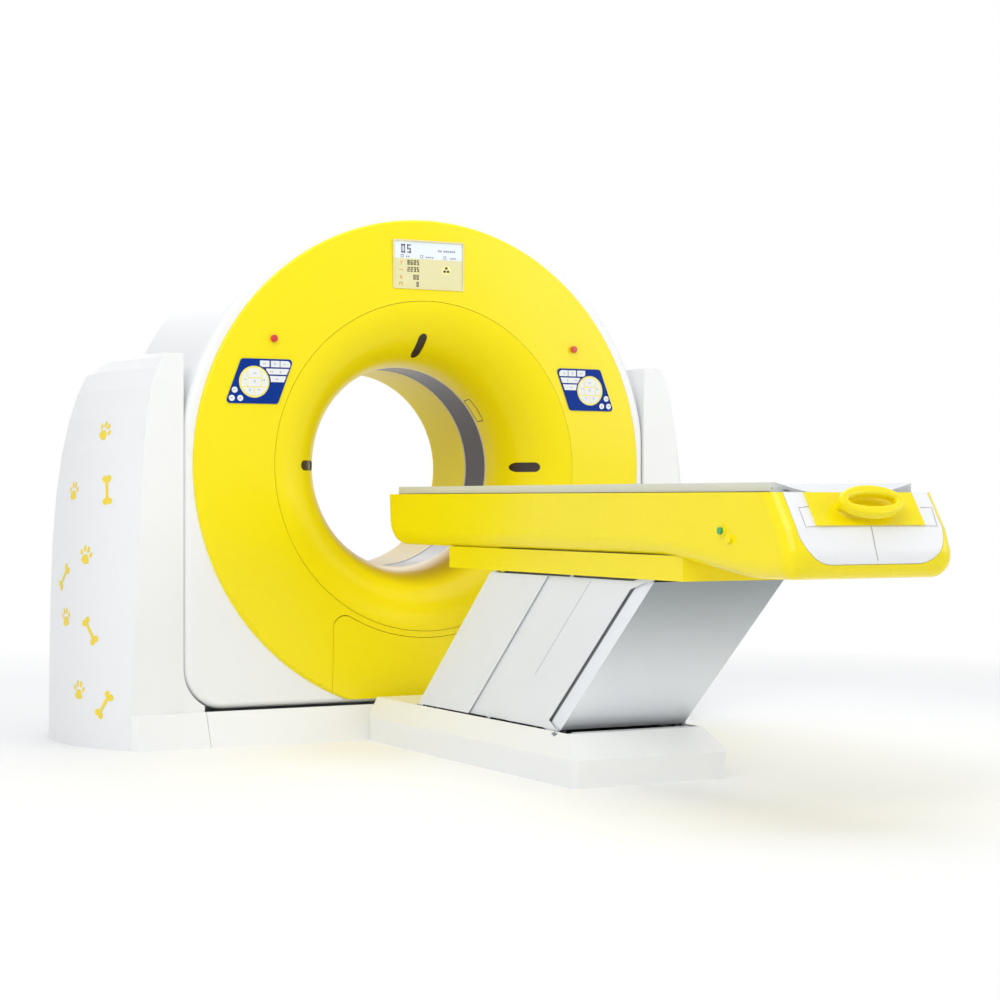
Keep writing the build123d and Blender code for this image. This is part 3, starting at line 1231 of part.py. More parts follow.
def actuator_body():
    y, z = actuator_angle()
    reach = sqrt(y * y + z * z)
    place = actuator_frame()
    barrel_end = reach - 90
    foot = extrude(place * (Circle(20) + Pos(25, 0) * Rectangle(50, 26)), amount=12, both=True)
    barrel = place * Pos((45 + barrel_end) / 2, 0, 0) * Rot(0, 90, 0) \
        * Cylinder(ACT_BODY_R, barrel_end - 45)
    bore_end = rod_start() - ACT_STROKE - 6
    bore = place * Pos((bore_end + reach) / 2, 0, 0) * Rot(0, 90, 0) \
        * Cylinder(ACT_ROD_R + RUN, reach - bore_end)
    motor = place * Pos(95, -52, 0) * Rot(0, 90, 0) * Cylinder(24, 90)
    bridge = place * Pos(70, -30, 0) * Box(36, 40, 30)
    body = foot + barrel + motor + bridge
    return body - bore - extrude(place * Circle(10 + RUN), amount=40, both=True)


def actuator_rod():
    y, z = actuator_angle()
    reach = sqrt(y * y + z * z)
    place = actuator_frame()
    start = rod_start()
    rod = place * Pos((start + reach - 20) / 2, 0, 0) * Rot(0, 90, 0) \
        * Cylinder(ACT_ROD_R, reach - 20 - start)
    eye = extrude(place * Pos(reach, 0) * Circle(28), amount=12, both=True)
    hole = extrude(place * Pos(reach, 0) * Circle(ACT_CROSS_R + ACT_SLACK), amount=20, both=True)
    return rod + eye - hole


def main():
    disc = disc_zone(about_bore(disc_section()), DISC_FLAT_Z)
    save("front_panel", front_panel())
    save("rear_panel", rear_panel())
    save("drum_shell", drum_shell())
    save("ring_cover", ring_cover(disc))
    save("access_cover", disc & access_zone(-SEAM_GAP / 2))
    save("bore_flare", bore_flare())
    save("laser_windows", laser_windows())
    save("window_band", window_band())
    save("window_rings", window_rings())
    save("rear_throat", rear_throat())
    save("display_frame", display_frame())
    save("display_screen", display_screen())
    save("control_panels", control_panels())
    save("keypads", keypads())
    save("left_emergency_button", emergency_button(-1))
    save("right_emergency_button", emergency_button(1))
    save("emergency_blocks", emergency_blocks())

    save("tilt_frame", tilt_frame())
    save("bearing_inner_ring", bearing_ring(BEARING_IN_R, bearing_mid() - 1))
    save("bearing_outer_ring", bearing_ring(bearing_mid() + 1, BEARING_OUT_R))
    save("bearing_rollers", bearing_rollers())
    save("rotor_plate", rotor_plate())
    save("xray_tube", xray_tube())
    save("collimator", collimator())
    save("hv_generator", hv_generator())
    save("detector_array", detector_array())
    save("slip_ring", slip_ring())
    save("motor_pulley", motor_pulley())
    save("rotor_motor", rotor_motor())
    save("drive_belt", drive_belt())

    right = side_cover()
    save("right_side_cover", right)
    save("left_side_cover", mirror(right, about=Plane.YZ))
    save("gantry_base_frame", gantry_base_frame())
    save("tilt_bearings", tilt_bearings())
    save("tilt_gearmotor", tilt_gearmotor())
    save("front_plinth_cover", front_plinth_cover())
    save("rear_plinth_cover", rear_plinth_cover())

    skin = table_skin()
    save("body_cover", body_cover(skin))
    save("end_cap", end_cap(skin))
    save("end_panel", end_panel())
    save("end_handle", end_handle())
    save("release_button", release_button())
    save("cradle", cradle())
    save("table_beam", table_beam())
    save("cradle_drive", cradle_drive())

    save("column_front_cover", column_front_cover())
    save("column_rear_cover", column_rear_cover())
    for name, (near, far, layer, pivot) in PANELS.items():
        save(f"column_side_panel_{name}", side_panel(near, far, layer, pivot))
    save("front_lift_arm", lift_arm(FRONT_ARM_Y, ACT_REACH, ACT_CROSS_R))
    save("rear_lift_arm", lift_arm(REAR_ARM_Y, 520, 20))
    save("lower_arm_pins", arm_pins(LOW_PIVOT_Z, 0))
    save("upper_arm_pins", arm_pins(HIGH_PIVOT_Z, ARM_DY))
    save("table_base_frame", table_base_frame())
    save("table_base_cover", table_base_cover())
    save("lift_head_frame", lift_head_frame())
    save("subframe_cover", subframe_cover())
    save("lift_actuator", actuator_body())
    save("actuator_rod", actuator_rod())


main()
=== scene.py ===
import json
import math

import bmesh
import bpy
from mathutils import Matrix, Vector
from mathutils.bvhtree import BVHTree


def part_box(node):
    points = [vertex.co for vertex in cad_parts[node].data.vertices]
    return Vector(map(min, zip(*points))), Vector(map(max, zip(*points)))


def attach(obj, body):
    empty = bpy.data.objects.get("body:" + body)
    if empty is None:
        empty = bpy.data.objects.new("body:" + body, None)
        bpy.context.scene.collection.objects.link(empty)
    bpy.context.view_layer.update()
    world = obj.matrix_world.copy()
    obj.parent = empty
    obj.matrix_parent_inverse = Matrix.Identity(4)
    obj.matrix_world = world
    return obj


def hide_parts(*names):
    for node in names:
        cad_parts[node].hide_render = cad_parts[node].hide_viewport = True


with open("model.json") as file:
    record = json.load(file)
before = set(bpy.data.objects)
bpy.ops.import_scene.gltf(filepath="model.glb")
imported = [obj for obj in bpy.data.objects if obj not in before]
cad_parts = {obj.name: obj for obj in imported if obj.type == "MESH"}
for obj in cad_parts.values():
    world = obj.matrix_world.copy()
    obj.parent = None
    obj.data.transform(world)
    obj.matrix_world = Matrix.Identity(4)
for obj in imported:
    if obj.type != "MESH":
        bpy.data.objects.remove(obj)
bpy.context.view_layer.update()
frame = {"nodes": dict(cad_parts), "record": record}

NODES = frame["nodes"]
SCENE = bpy.context.scene
SIDES = ((-1, "left"), (1, "right"))         # sign of x, and the word in a piece's name

# Places in the CAD that the pieces below line up with, in metres
BORE_Z = 0.918                               # height of the bore's axis
LEAN = math.radians(41)                      # the column's angle above the floor at rest
PIVOT_LOW_Z, PIVOT_TOP_Z = 0.140, 0.604      # the side panels' hinges
FRONT_LOW_Y, REAR_LOW_Y = -0.728, -1.610
FRONT_TOP_Y, REAR_TOP_Y = -1.262, -2.144

# The photo's camera
CAM_AT = Vector((-3.218, -6.994, 0.802))
CAM_TURN = math.radians(27.69)
FOCAL_PX = 2160.0
FRAME_PX = 1000.0
SENSOR_MM = 36.0


# Shader nodes

def math_node(tree, operation, *values):
    """A math node's output; each value is a socket or a number."""
    node = tree.nodes.new("ShaderNodeMath")
    node.operation = operation
    for socket, value in zip(node.inputs, values):
        if isinstance(value, float):
            socket.default_value = value
        else:
            tree.links.new(value, socket)
    return node.outputs[0]


def map_range(tree, value, start, end, low=0.0, high=1.0, kind="LINEAR"):
    """A value's way from start to end, as a number from low to high."""
    node = tree.nodes.new("ShaderNodeMapRange")
    node.interpolation_type = kind
    node.inputs["From Min"].default_value = start
    node.inputs["From Max"].default_value = end
    node.inputs["To Min"].default_value = low
    node.inputs["To Max"].default_value = high
    tree.links.new(value, node.inputs["Value"])
    return node.outputs[0]


def length_of(tree, vector):
    """A vector's length."""
    node = tree.nodes.new("ShaderNodeVectorMath")
    node.operation = "LENGTH"
    tree.links.new(vector, node.inputs[0])
    return node.outputs["Value"]


def mix_color(tree, factor, a, b):
    """A colour mix of a and b, driven by a factor socket."""
    mix = tree.nodes.new("ShaderNodeMix")
    mix.data_type = "RGBA"
    tree.links.new(factor, mix.inputs[0])
    mix.inputs[6].default_value = (*a, 1)
    mix.inputs[7].default_value = (*b, 1)
    return mix.outputs[2]


def mix_shader(tree, factor, a, b):
    """A mix of two shaders, driven by a factor socket."""
    mix = tree.nodes.new("ShaderNodeMixShader")
    for socket, value in zip(mix.inputs, (factor, a, b)):
        tree.links.new(value, socket)
    return mix.outputs[0]


def noise(tree, scale, detail=3.0, stretch=None):
    """Noise in the object's own coordinates, stretched along an axis if asked."""
    coord = tree.nodes.new("ShaderNodeTexCoord")
    source = coord.outputs["Object"]
    if stretch:
        mapping = tree.nodes.new("ShaderNodeMapping")
        mapping.inputs["Scale"].default_value = stretch
        tree.links.new(source, mapping.inputs[0])
        source = mapping.outputs[0]
    node = tree.nodes.new("ShaderNodeTexNoise")
    node.inputs["Scale"].default_value = scale
    node.inputs["Detail"].default_value = detail
    tree.links.new(source, node.inputs["Vector"])
    return node.outputs[0]


def white_rays(tree):
    """1 for the rays that see a white studio: camera, glossy and transmission rays."""
    rays = tree.nodes.new("ShaderNodeLightPath")
    bounced = math_node(tree, "MAXIMUM", rays.outputs["Is Glossy Ray"],
                        rays.outputs["Is Transmission Ray"])
    return math_node(tree, "MAXIMUM", rays.outputs["Is Camera Ray"], bounced)


# Materials

ROUGH_SPREAD = 0.06         # how far the fine noise moves the roughness both ways
BUMP_DEPTH = 0.001
COAT_ROUGH = 0.12
SHADE_SCALE, SHADE_DRIFT = 3.0, 0.08         # the noise over the painted shade's slow change of colour


def surface(name, color, rough, metallic=0.0, coat=0.0, tint=0.05, broad=4.0, grain=900.0,
            bump=0.03, stretch=None, emission=0.0, specular=0.5):
    """A painted, moulded or metal surface: broad tint drift, fine roughness change and grain."""
    mat = bpy.data.materials.new(name)
    mat.use_nodes = True
    tree = mat.node_tree
    shader = tree.nodes["Principled BSDF"]
    low = tuple(max(0.0, c * (1 - tint)) for c in color)
    high = tuple(min(1.0, c * (1 + tint)) for c in color)
    tree.links.new(mix_color(tree, noise(tree, broad), low, high), shader.inputs["Base Color"])
    fine = noise(tree, grain, 2.0, stretch)
    roughness = map_range(tree, fine, 0.0, 1.0, max(0.02, rough - ROUGH_SPREAD),
                          min(1.0, rough + ROUGH_SPREAD))
    tree.links.new(roughness, shader.inputs["Roughness"])
    height = tree.nodes.new("ShaderNodeBump")
    height.inputs["Strength"].default_value = bump
    height.inputs["Distance"].default_value = BUMP_DEPTH
    tree.links.new(fine, height.inputs["Height"])
    tree.links.new(height.outputs[0], shader.inputs["Normal"])
    shader.inputs["Metallic"].default_value = metallic
    shader.inputs["Coat Weight"].default_value = coat
    shader.inputs["Coat Roughness"].default_value = COAT_ROUGH
    shader.inputs["Specular IOR Level"].default_value = specular
    if emission:
        tree.links.new(mix_color(tree, noise(tree, broad), low, high),
                       shader.inputs["Emission Color"])
        shader.inputs["Emission Strength"].default_value = emission
    return mat


def paint_shade_by_height(mat, low_z, high_z, low, high, radii=None, plain_sides=False):
    """Paints shade into a paint's colour: a slow change from the low colour to the high one with
    height. With radii, the painted low colour also ends between those distances from the bore's
    axis. Plain sides keep the low colour where the surface faces sideways."""
    tree = mat.node_tree
    coord = tree.nodes.new("ShaderNodeTexCoord")
    place = tree.nodes.new("ShaderNodeSeparateXYZ")
    tree.links.new(coord.outputs["Object"], place.inputs[0])
    level = map_range(tree, place.outputs["Z"], low_z, high_z, kind="SMOOTHSTEP")
    if radii:
        across = tree.nodes.new("ShaderNodeMapping")
        across.inputs["Location"].default_value = (0, 0, -BORE_Z)
        across.inputs["Scale"].default_value = (1, 0, 1)
        tree.links.new(coord.outputs["Object"], across.inputs[0])
        outwards = map_range(tree, length_of(tree, across.outputs[0]), *radii, kind="SMOOTHSTEP")
        level = math_node(tree, "MAXIMUM", level, outwards)
    if plain_sides:
        facing = tree.nodes.new("ShaderNodeSeparateXYZ")
        tree.links.new(coord.outputs["Normal"], facing.inputs[0])
        sideways = math_node(tree, "ABSOLUTE", facing.outputs["X"])
        level = math_node(tree, "MULTIPLY", level, map_range(tree, sideways, 0.5, 0.8, 1.0, 0.0))
    drift = math_node(tree, "MULTIPLY_ADD", noise(tree, SHADE_SCALE), SHADE_DRIFT, level)
    tree.links.new(mix_color(tree, drift, low, high),
                   tree.nodes["Principled BSDF"].inputs["Base Color"])


YELLOW = (0.93, 0.77, 0.003)
COLUMN_GREY = (0.80, 0.82, 0.85)
TRIM_GREY = (0.50, 0.48, 0.55)

MATERIALS = {
    "yellow_gelcoat": surface("yellow_gelcoat", YELLOW, 0.24, coat=0.1, tint=0.015, bump=0.01,
                              specular=0.28),
    "white_gelcoat": surface("white_gelcoat", (0.87, 0.88, 0.89), 0.34, coat=0.1, tint=0.012,
                             bump=0.015, specular=0.4),
    "column_paint": surface("column_paint", COLUMN_GREY, 0.36, metallic=0.1, tint=0.02, bump=0.03,
                            grain=1400),
    "dark_window": surface("dark_window", (0.045, 0.03, 0.032), 0.3, coat=0.1, tint=0.2,
                           specular=0.3),
    "pale_trim": surface("pale_trim", TRIM_GREY, 0.32, tint=0.04),
    "screen": surface("screen", (0.70, 0.66, 0.36), 0.2, coat=0.3, tint=0.03, emission=0.12),
    "grey_trim": surface("grey_trim", (0.52, 0.54, 0.57), 0.4, tint=0.04),
    "blue_overlay": surface("blue_overlay", (0.001, 0.032, 0.27), 0.42, tint=0.06, bump=0.05,
                            specular=0.12),
    "white_keys": surface("white_keys", (0.82, 0.83, 0.84), 0.42, tint=0.02, bump=0.05),
    "red_button": surface("red_button", (0.62, 0.02, 0.03), 0.25, coat=0.4, tint=0.06),
    "green_button": surface("green_button", (0.02, 0.36, 0.09), 0.28, coat=0.4, tint=0.06),
    "frame_paint": surface("frame_paint", (0.12, 0.13, 0.14), 0.5, tint=0.08, bump=0.12),
    "machined_steel": surface("machined_steel", (0.55, 0.56, 0.57), 0.28, metallic=1.0, tint=0.05,
                              stretch=(1, 1, 30), bump=0.04),
    "cast_aluminium": surface("cast_aluminium", (0.58, 0.59, 0.61), 0.46, metallic=0.9, tint=0.06,
                              grain=500, bump=0.15),
    "inner_case": surface("inner_case", (0.42, 0.44, 0.46), 0.45, tint=0.05),
    "belt_rubber": surface("belt_rubber", (0.02, 0.02, 0.021), 0.7, tint=0.1, bump=0.1),
}

# Paints of single nodes
# Painted shade and light: the column's rear plate darker towards its top, under the table, and
# lighter at its foot, its sideways faces kept light
REAR_PAINTED_SHADE = surface("rear_plate_painted_shade", COLUMN_GREY, 0.34, metallic=0.1, tint=0.02, bump=0.03,
                     grain=1400)
# Painted shade: the bore's flare darker low down and near the bore's edge, where the table shades
# it
FLARE_PAINTED_SHADE = surface("flare_gelcoat_painted_shade", YELLOW, 0.3, coat=0.05, tint=0.015, bump=0.01, specular=0.2)
# Painted shade: the rear throat darker towards the bottom of the bore
THROAT_PAINTED_SHADE = surface("throat_gelcoat_painted_shade", YELLOW, 0.34, tint=0.015, bump=0.01, specular=0.2)
# Painted shade: the window rings darker towards the bottom of the bore
RING_PAINTED_SHADE = surface("ring_trim_painted_shade", TRIM_GREY, 0.32, tint=0.04)
CRADLE = surface("cradle_laminate", (0.66, 0.69, 0.73), 0.36, coat=0.15, tint=0.03, grain=600)
PALE_FRAME = surface("display_frame_paint", (0.78, 0.72, 0.40), 0.35, tint=0.03)
paint_shade_by_height(REAR_PAINTED_SHADE, 0.22, 0.66, (0.86, 0.89, 0.94), (0.27, 0.31, 0.35), plain_sides=True)
paint_shade_by_height(FLARE_PAINTED_SHADE, 0.58, 0.90, (0.40, 0.24, 0.012), YELLOW, radii=(0.355, 0.425))
paint_shade_by_height(THROAT_PAINTED_SHADE, 0.52, 0.84, (0.44, 0.32, 0.12), YELLOW)
paint_shade_by_height(RING_PAINTED_SHADE, 0.56, 0.80, (0.17, 0.18, 0.23), TRIM_GREY)
NODE_PAINTS = {"display_frame": PALE_FRAME, "cradle": CRADLE, "column_rear_cover": REAR_PAINTED_SHADE,
               "bore_flare": FLARE_PAINTED_SHADE, "rear_throat": THROAT_PAINTED_SHADE, "window_rings": RING_PAINTED_SHADE}

# Paints of the pieces below
BLACK = surface("black_edge", (0.012, 0.012, 0.013), 0.45, tint=0.1)
DECAL = surface("decal_yellow", (0.92, 0.70, 0.05), 0.4, tint=0.03)
KEY_MARK = surface("key_mark", (0.20, 0.24, 0.34), 0.5, tint=0.05)
PAD_YELLOW = surface("pad_yellow", (0.90, 0.80, 0.16), 0.4, tint=0.03)
SCREEN_TOP = surface("screen_top", (0.72, 0.78, 0.84), 0.14, coat=0.4, tint=0.02, emission=0.15)
SCREEN_INK = surface("screen_ink", (0.09, 0.075, 0.02), 0.3, tint=0.1)
SCREEN_GREY = surface("screen_grey", (0.26, 0.27, 0.31), 0.3, tint=0.05)
SCREEN_MARK = surface("screen_orange", (0.78, 0.36, 0.10), 0.3, tint=0.05)
SCREEN_LIGHT = surface("screen_pale", (0.93, 0.86, 0.38), 0.3, tint=0.03)
STRIP = surface("corner_strip", (0.30, 0.31, 0.32), 0.45, tint=0.06)
SEAM_GREY = surface("panel_seam", (0.33, 0.34, 0.36), 0.5, tint=0.06)
FINE_LINE = surface("fine_line", (0.42, 0.40, 0.38), 0.6, tint=0.08)
SCREW_GREY = surface("bracket_grey", (0.20, 0.22, 0.24), 0.45, tint=0.1)

for entry in frame["record"]["subparts"]:
    node = NODES[entry["node"]]
    material = NODE_PAINTS.get(entry["node"], MATERIALS[entry["material_slot"]])
    if not node.material_slots:
        node.data.materials.append(material)
    for material_slot in node.material_slots:
        material_slot.link = "OBJECT"
        material_slot.material = material


# Soft edges of the CAD's own covers

EDGE_SEGMENTS = 2
EDGE_ANGLE = math.radians(35)
EDGE_WIDTHS = {"front_panel": 0.001, "access_cover": 0.0012, "ring_cover": 0.0012,
               "left_side_cover": 0.008, "right_side_cover": 0.008, "front_plinth_cover": 0.004,
               "table_base_cover": 0.006, "end_panel": 0.0012, "column_front_cover": 0.0006,
               "cradle": 0.0025, "display_frame": 0.0007, "control_panels": 0.0006}
for name, width in EDGE_WIDTHS.items():
    bevel = NODES[name].modifiers.new("edge", "BEVEL")
    bevel.width = width
    bevel.segments = EDGE_SEGMENTS
    bevel.limit_method = "ANGLE"
    bevel.angle_limit = EDGE_ANGLE
    bevel.harden_normals = False


# Making pieces, and finding places on the covers

def piece(name, verts, faces, material, body):
    """A new mesh that rides on a body."""
    mesh = bpy.data.meshes.new(name)
    mesh.from_pydata([tuple(v) for v in verts], [], faces)
    mesh.validate()
    mesh.materials.append(material)
    obj = bpy.data.objects.new(name, mesh)
    SCENE.collection.objects.link(obj)
    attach(obj, body)
    return obj


def prism_faces(count, start=0):
    """Faces between an outline's points and the same outline behind it."""
    faces = [tuple(range(start, start + count)),
             tuple(range(start + 2 * count - 1, start + count - 1, -1))]
    for a in range(count):
        b = (a + 1) % count
        faces.append((start + b, start + a, start + count + a, start + count + b))
    return faces


def ellipse(cx, cy, rx, ry, turn=0.0, count=14):
    c, s = math.cos(turn), math.sin(turn)
    points = []
    for n in range(count):
        u = rx * math.cos(2 * math.pi * n / count)
        v = ry * math.sin(2 * math.pi * n / count)
        points.append((cx + u * c - v * s, cy + u * s + v * c))
    return points


def rectangle(x0, x1, y0, y1):
    return [(x0, y0), (x1, y0), (x1, y1), (x0, y1)]


def tree_of(name):
    """A node's faces, ready for rays."""
    mesh = NODES[name].data
    return BVHTree.FromPolygons([v.co for v in mesh.vertices],
                                [tuple(p.vertices) for p in mesh.polygons])


def surface_point(tree, px, py):
    """Where the camera's ray through a picture point meets a surface, and the normal there."""
    forward = Vector((math.sin(CAM_TURN), math.cos(CAM_TURN), 0))
    right = Vector((math.cos(CAM_TURN), -math.sin(CAM_TURN), 0))
    down = Vector((0, 0, -1))
    ray = forward * FOCAL_PX + right * (px - FRAME_PX / 2) + down * (py - FRAME_PX / 2)
    hit, normal = tree.ray_cast(CAM_AT, ray.normalized())[:2]
    if hit is None:
        return None
    return hit, -normal if normal.dot(ray) > 0 else normal


# Paw and bone prints on the left tower

PAW = [ellipse(0, -0.016, 0.021, 0.019), ellipse(0, -0.024, 0.025, 0.012),
       ellipse(-0.029, 0.006, 0.0075, 0.012, 0.35), ellipse(-0.011, 0.024, 0.008, 0.0135, 0.1),
       ellipse(0.011, 0.024, 0.008, 0.0135, -0.1), ellipse(0.029, 0.006, 0.0075, 0.012, -0.35)]
BONE = [ellipse(x, y, 0.0135, 0.0135) for x in (-0.0115, 0.0115) for y in (-0.045, 0.045)]
BONE += [rectangle(-0.0075, 0.0075, y, y + 0.022) for y in (-0.044, -0.022, 0.0, 0.022)]
PRINTS = (("paw", 105, 431, -0.45), ("paw", 74, 491, 0.0), ("paw", 86, 555, -0.2),
          ("paw", 66, 617, 0.1), ("paw", 79, 690, -0.1), ("bone", 107, 490, 0.12),
          ("bone", 64, 577, -0.7), ("bone", 90, 631, 0.62), ("bone", 104, 705, -0.62))
PRINT_SCALE = 0.82
PRINT_LIFT, PRINT_STEP = 0.0004, 0.00005     # film above the cover, and above the last shape
PRINT_THICK = 0.0003
PROBE = 0.05                                 # rays start this far off the cover


def lay_print(name, tree, at, normal, shapes, turn):
    """Flat shapes wrapped onto a cover: every point is dropped onto it along the normal."""
    across = Vector((0, 0, 1)).cross(normal).normalized()
    along = normal.cross(across)
    c, s = PRINT_SCALE * math.cos(turn), PRINT_SCALE * math.sin(turn)
    verts, faces = [], []
    for order, shape in enumerate(shapes):
        count, start = len(shape), len(verts)
        middle = (sum(p[0] for p in shape) / count, sum(p[1] for p in shape) / count)
        for u, v in [middle, *shape]:
            flat = at + across * (u * c - v * s) + along * (u * s + v * c)
            hit = tree.ray_cast(flat + normal * PROBE, -normal)[0] or flat
            verts.append(hit + normal * (PRINT_LIFT + PRINT_STEP * order))
        faces += [(start, start + 1 + n, start + 1 + (n + 1) % count) for n in range(count)]
    obj = piece(name, verts, faces, DECAL, "gantry_base")
    film = obj.modifiers.new("film", "SOLIDIFY")
    film.thickness = PRINT_THICK
    film.offset = 1


left_tower = tree_of("left_side_cover")
for number, (kind, px, py, turn) in enumerate(PRINTS):
    at, normal = surface_point(left_tower, px, py)
    lay_print(f"print_{number}_{kind}", left_tower, at, normal, PAW if kind == "paw" else BONE,
              turn)


# Display: a pale upper field and a beige lower one with rows of plain digits

SEGMENTS = {"0": "abcdef", "2": "abged", "3": "abgcd", "5": "afgcd", "6": "afgedc",
            "8": "abcdefg"}
STROKE = 0.18                                # of a digit's height
FIELD_THICK, INK_THICK = 0.0003, 0.0004
screen_low, screen_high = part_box("display_screen")
SCREEN_Y = screen_low.y
INK_Y = SCREEN_Y - FIELD_THICK               # face of the pale field and of the round icon
SCREEN_X, SCREEN_TOP_Z = screen_low.x, screen_high.z
SCREEN_W, SCREEN_H = screen_high.x - screen_low.x, screen_high.z - screen_low.z


def on_screen(u0, v0, u1, v1):
    """A rectangle given in fractions of the screen, from its upper left corner."""
    return rectangle(SCREEN_X + u0 * SCREEN_W, SCREEN_X + u1 * SCREEN_W,
                     SCREEN_TOP_Z - v1 * SCREEN_H, SCREEN_TOP_Z - v0 * SCREEN_H)


def digit(char, x, top, height):
    """A seven-segment digit's bars."""
    w, t = height * 0.5, height * STROKE
    mid, low = top - height / 2, top - height
    bars = {"a": (x, x + w, top - t, top), "d": (x, x + w, low, low + t),
            "g": (x, x + w, mid - t / 2, mid + t / 2), "f": (x, x + t, mid, top),
            "b": (x + w - t, x + w, mid, top), "e": (x, x + t, low, mid),
            "c": (x + w - t, x + w, low, mid)}
    return [rectangle(*bars[name]) for name in SEGMENTS[char]]


def screen_marks(name, outlines, y, thick, material):
    """Flat marks that face the table, their backs at y."""
    verts, faces = [], []
    for outline in outlines:
        faces += prism_faces(len(outline), len(verts))
        verts += [(x, d, z) for d in (y - thick, y) for x, z in outline]
    piece(name, verts, faces, material, "gantry_drum")


ROW_H, ROW_STEP = 0.105 * SCREEN_H, 0.72     # small digits, and their step in heights
ROWS = (("8605", 0.375, 0.405), ("2235", 0.375, 0.555), ("00", 0.37, 0.725), ("0", 0.37, 0.875))
ink = []
for text, right, top in ROWS:
    for order, char in enumerate(reversed(text)):
        ink += digit(char, SCREEN_X + right * SCREEN_W - (order + 1) * ROW_H * ROW_STEP,
                     SCREEN_TOP_Z - top * SCREEN_H, ROW_H)

GREY_BARS = ((0.16, 0.20, (0.64, 0.67, 0.72, 0.75, 0.78, 0.81, 0.84, 0.87)),
             (0.315, 0.345, (0.17, 0.20, 0.46, 0.49, 0.52, 0.55, 0.82, 0.85, 0.88)))
BAR_W = 0.022
grey = [on_screen(u, top, u + BAR_W, low) for top, low, row in GREY_BARS for u in row]
for u in (0.115, 0.40, 0.74):                # empty boxes
    grey += [on_screen(u - 0.02, 0.29, u - 0.012, 0.35), on_screen(u + 0.012, 0.29, u + 0.02, 0.35),
             on_screen(u - 0.02, 0.285, u + 0.02, 0.297),
             on_screen(u - 0.02, 0.343, u + 0.02, 0.355)]
for order, char in enumerate("05"):
    grey += digit(char, SCREEN_X + (0.10 + 0.085 * order) * SCREEN_W,
                  SCREEN_TOP_Z - 0.065 * SCREEN_H, 0.19 * SCREEN_H)
orange = [on_screen(*corners) for corners in (
    (0.095, 0.43, 0.107, 0.51), (0.107, 0.43, 0.13, 0.445), (0.07, 0.615, 0.13, 0.63),
    (0.085, 0.74, 0.10, 0.80), (0.10, 0.77, 0.115, 0.83), (0.07, 0.90, 0.082, 0.96),
    (0.108, 0.90, 0.12, 0.96), (0.07, 0.895, 0.12, 0.908))]

ICON_X, ICON_Z = SCREEN_X + 0.762 * SCREEN_W, SCREEN_TOP_Z - 0.595 * SCREEN_H
ICON_OUT = 0.0075                            # its dots from its middle
icon_dots = [ellipse(ICON_X + ICON_OUT * math.sin(a), ICON_Z + ICON_OUT * math.cos(a),
                     0.0058, 0.0046, count=12)
             for a in (0, 2 * math.pi / 3, 4 * math.pi / 3)]

screen_marks("display_upper_field", [on_screen(0.003, 0.004, 0.997, 0.37)], SCREEN_Y, FIELD_THICK,
             SCREEN_TOP)
screen_marks("display_digits", ink, SCREEN_Y, INK_THICK, SCREEN_INK)
screen_marks("display_grey_marks", grey, INK_Y, FIELD_THICK, SCREEN_GREY)
screen_marks("display_orange_marks", orange, SCREEN_Y, INK_THICK, SCREEN_MARK)
screen_marks("display_icon_field", [ellipse(ICON_X, ICON_Z, 0.0185, 0.0165, count=24)], SCREEN_Y,
             FIELD_THICK, SCREEN_LIGHT)
screen_marks("display_icon_dots", icon_dots, INK_Y, FIELD_THICK, SCREEN_INK)


# Control panels: the yellow plate under the round key group, and a faint mark on each key

RING_X, RING_Z = 0.6363, 1.1905              # middle of the right panel's round group
PLATE_R, PLATE_RINGS, PLATE_COUNT = 0.0525, 3, 32
PLATE_LIFT, PLATE_THICK = 0.00002, 0.00016
MARK_SPOTS = ((0.001, 0.028), (0.001, 0.0015), (-0.031, 0.006), (0.032, 0.006), (-0.015, -0.027),
              (0.016, -0.027), (0.036, 0.060), (0.072, 0.060), (0.106, 0.059), (0.060, 0.0345),
              (0.092, 0.0345), (0.078, 0.0095), (-0.0684, -0.0272), (-0.0494, -0.0542),
              (-0.0784, -0.0542))            # from the group's middle, inwards and up
MARK_BARS = (((-4, -3, -3, 3), (3, 4, -3, 3), (-2, 2, -0.6, 0.6)),
             ((-3.5, 3.5, 2, 3), (-3.5, 3.5, -3, -2), (-0.6, 0.6, -2, 2)),
             ((-4, 4, -0.6, 0.6), (-3, -2, 0.6, 3), (1, 2, 0.6, 3)))
MARK_LIFT, MARK_THICK = 0.0001, 0.0002
MM = 0.001                                   # the bars' unit
RAY_Y, FACE_Y = -1.2, -0.34                  # where rays start, and the disc's face
FRONT = Vector((0, -1, 0))
panel_tree = tree_of("control_panels")
key_tree = tree_of("keypads")


def dropped(tree, x, z, lift):
    """A point on a surface that faces the table, lifted off it."""
    hit = tree.ray_cast(Vector((x, RAY_Y, z)), -FRONT)[0]
    return (hit or Vector((x, FACE_Y, z))) + FRONT * lift


def key_plate(name, cx):
    """A thin round plate that follows the panel's bowed face."""
    count = PLATE_COUNT
    verts, faces = [], []
    for lift in (PLATE_LIFT + PLATE_THICK, PLATE_LIFT):
        verts.append(dropped(panel_tree, cx, RING_Z, lift))
        for ring in range(1, PLATE_RINGS + 1):
            radius = PLATE_R * ring / PLATE_RINGS
            verts += [dropped(panel_tree, x, z, lift)
                      for x, z in ellipse(cx, RING_Z, radius, radius, count=count)]
    half = 1 + PLATE_RINGS * count
    around = [(a, (a + 1) % count) for a in range(count)]
    for first, order in ((0, 1), (half, -1)):
        faces += [(first, first + 1 + a, first + 1 + b)[::order] for a, b in around]
        for ring in range(PLATE_RINGS - 1):
            i, o = first + 1 + ring * count, first + 1 + (ring + 1) * count
            faces += [(i + a, o + a, o + b, i + b)[::order] for a, b in around]
    edge = 1 + (PLATE_RINGS - 1) * count
    faces += [(edge + a, half + edge + a, half + edge + b, edge + b) for a, b in around]
    piece(name, verts, faces, PAD_YELLOW, "gantry_drum")


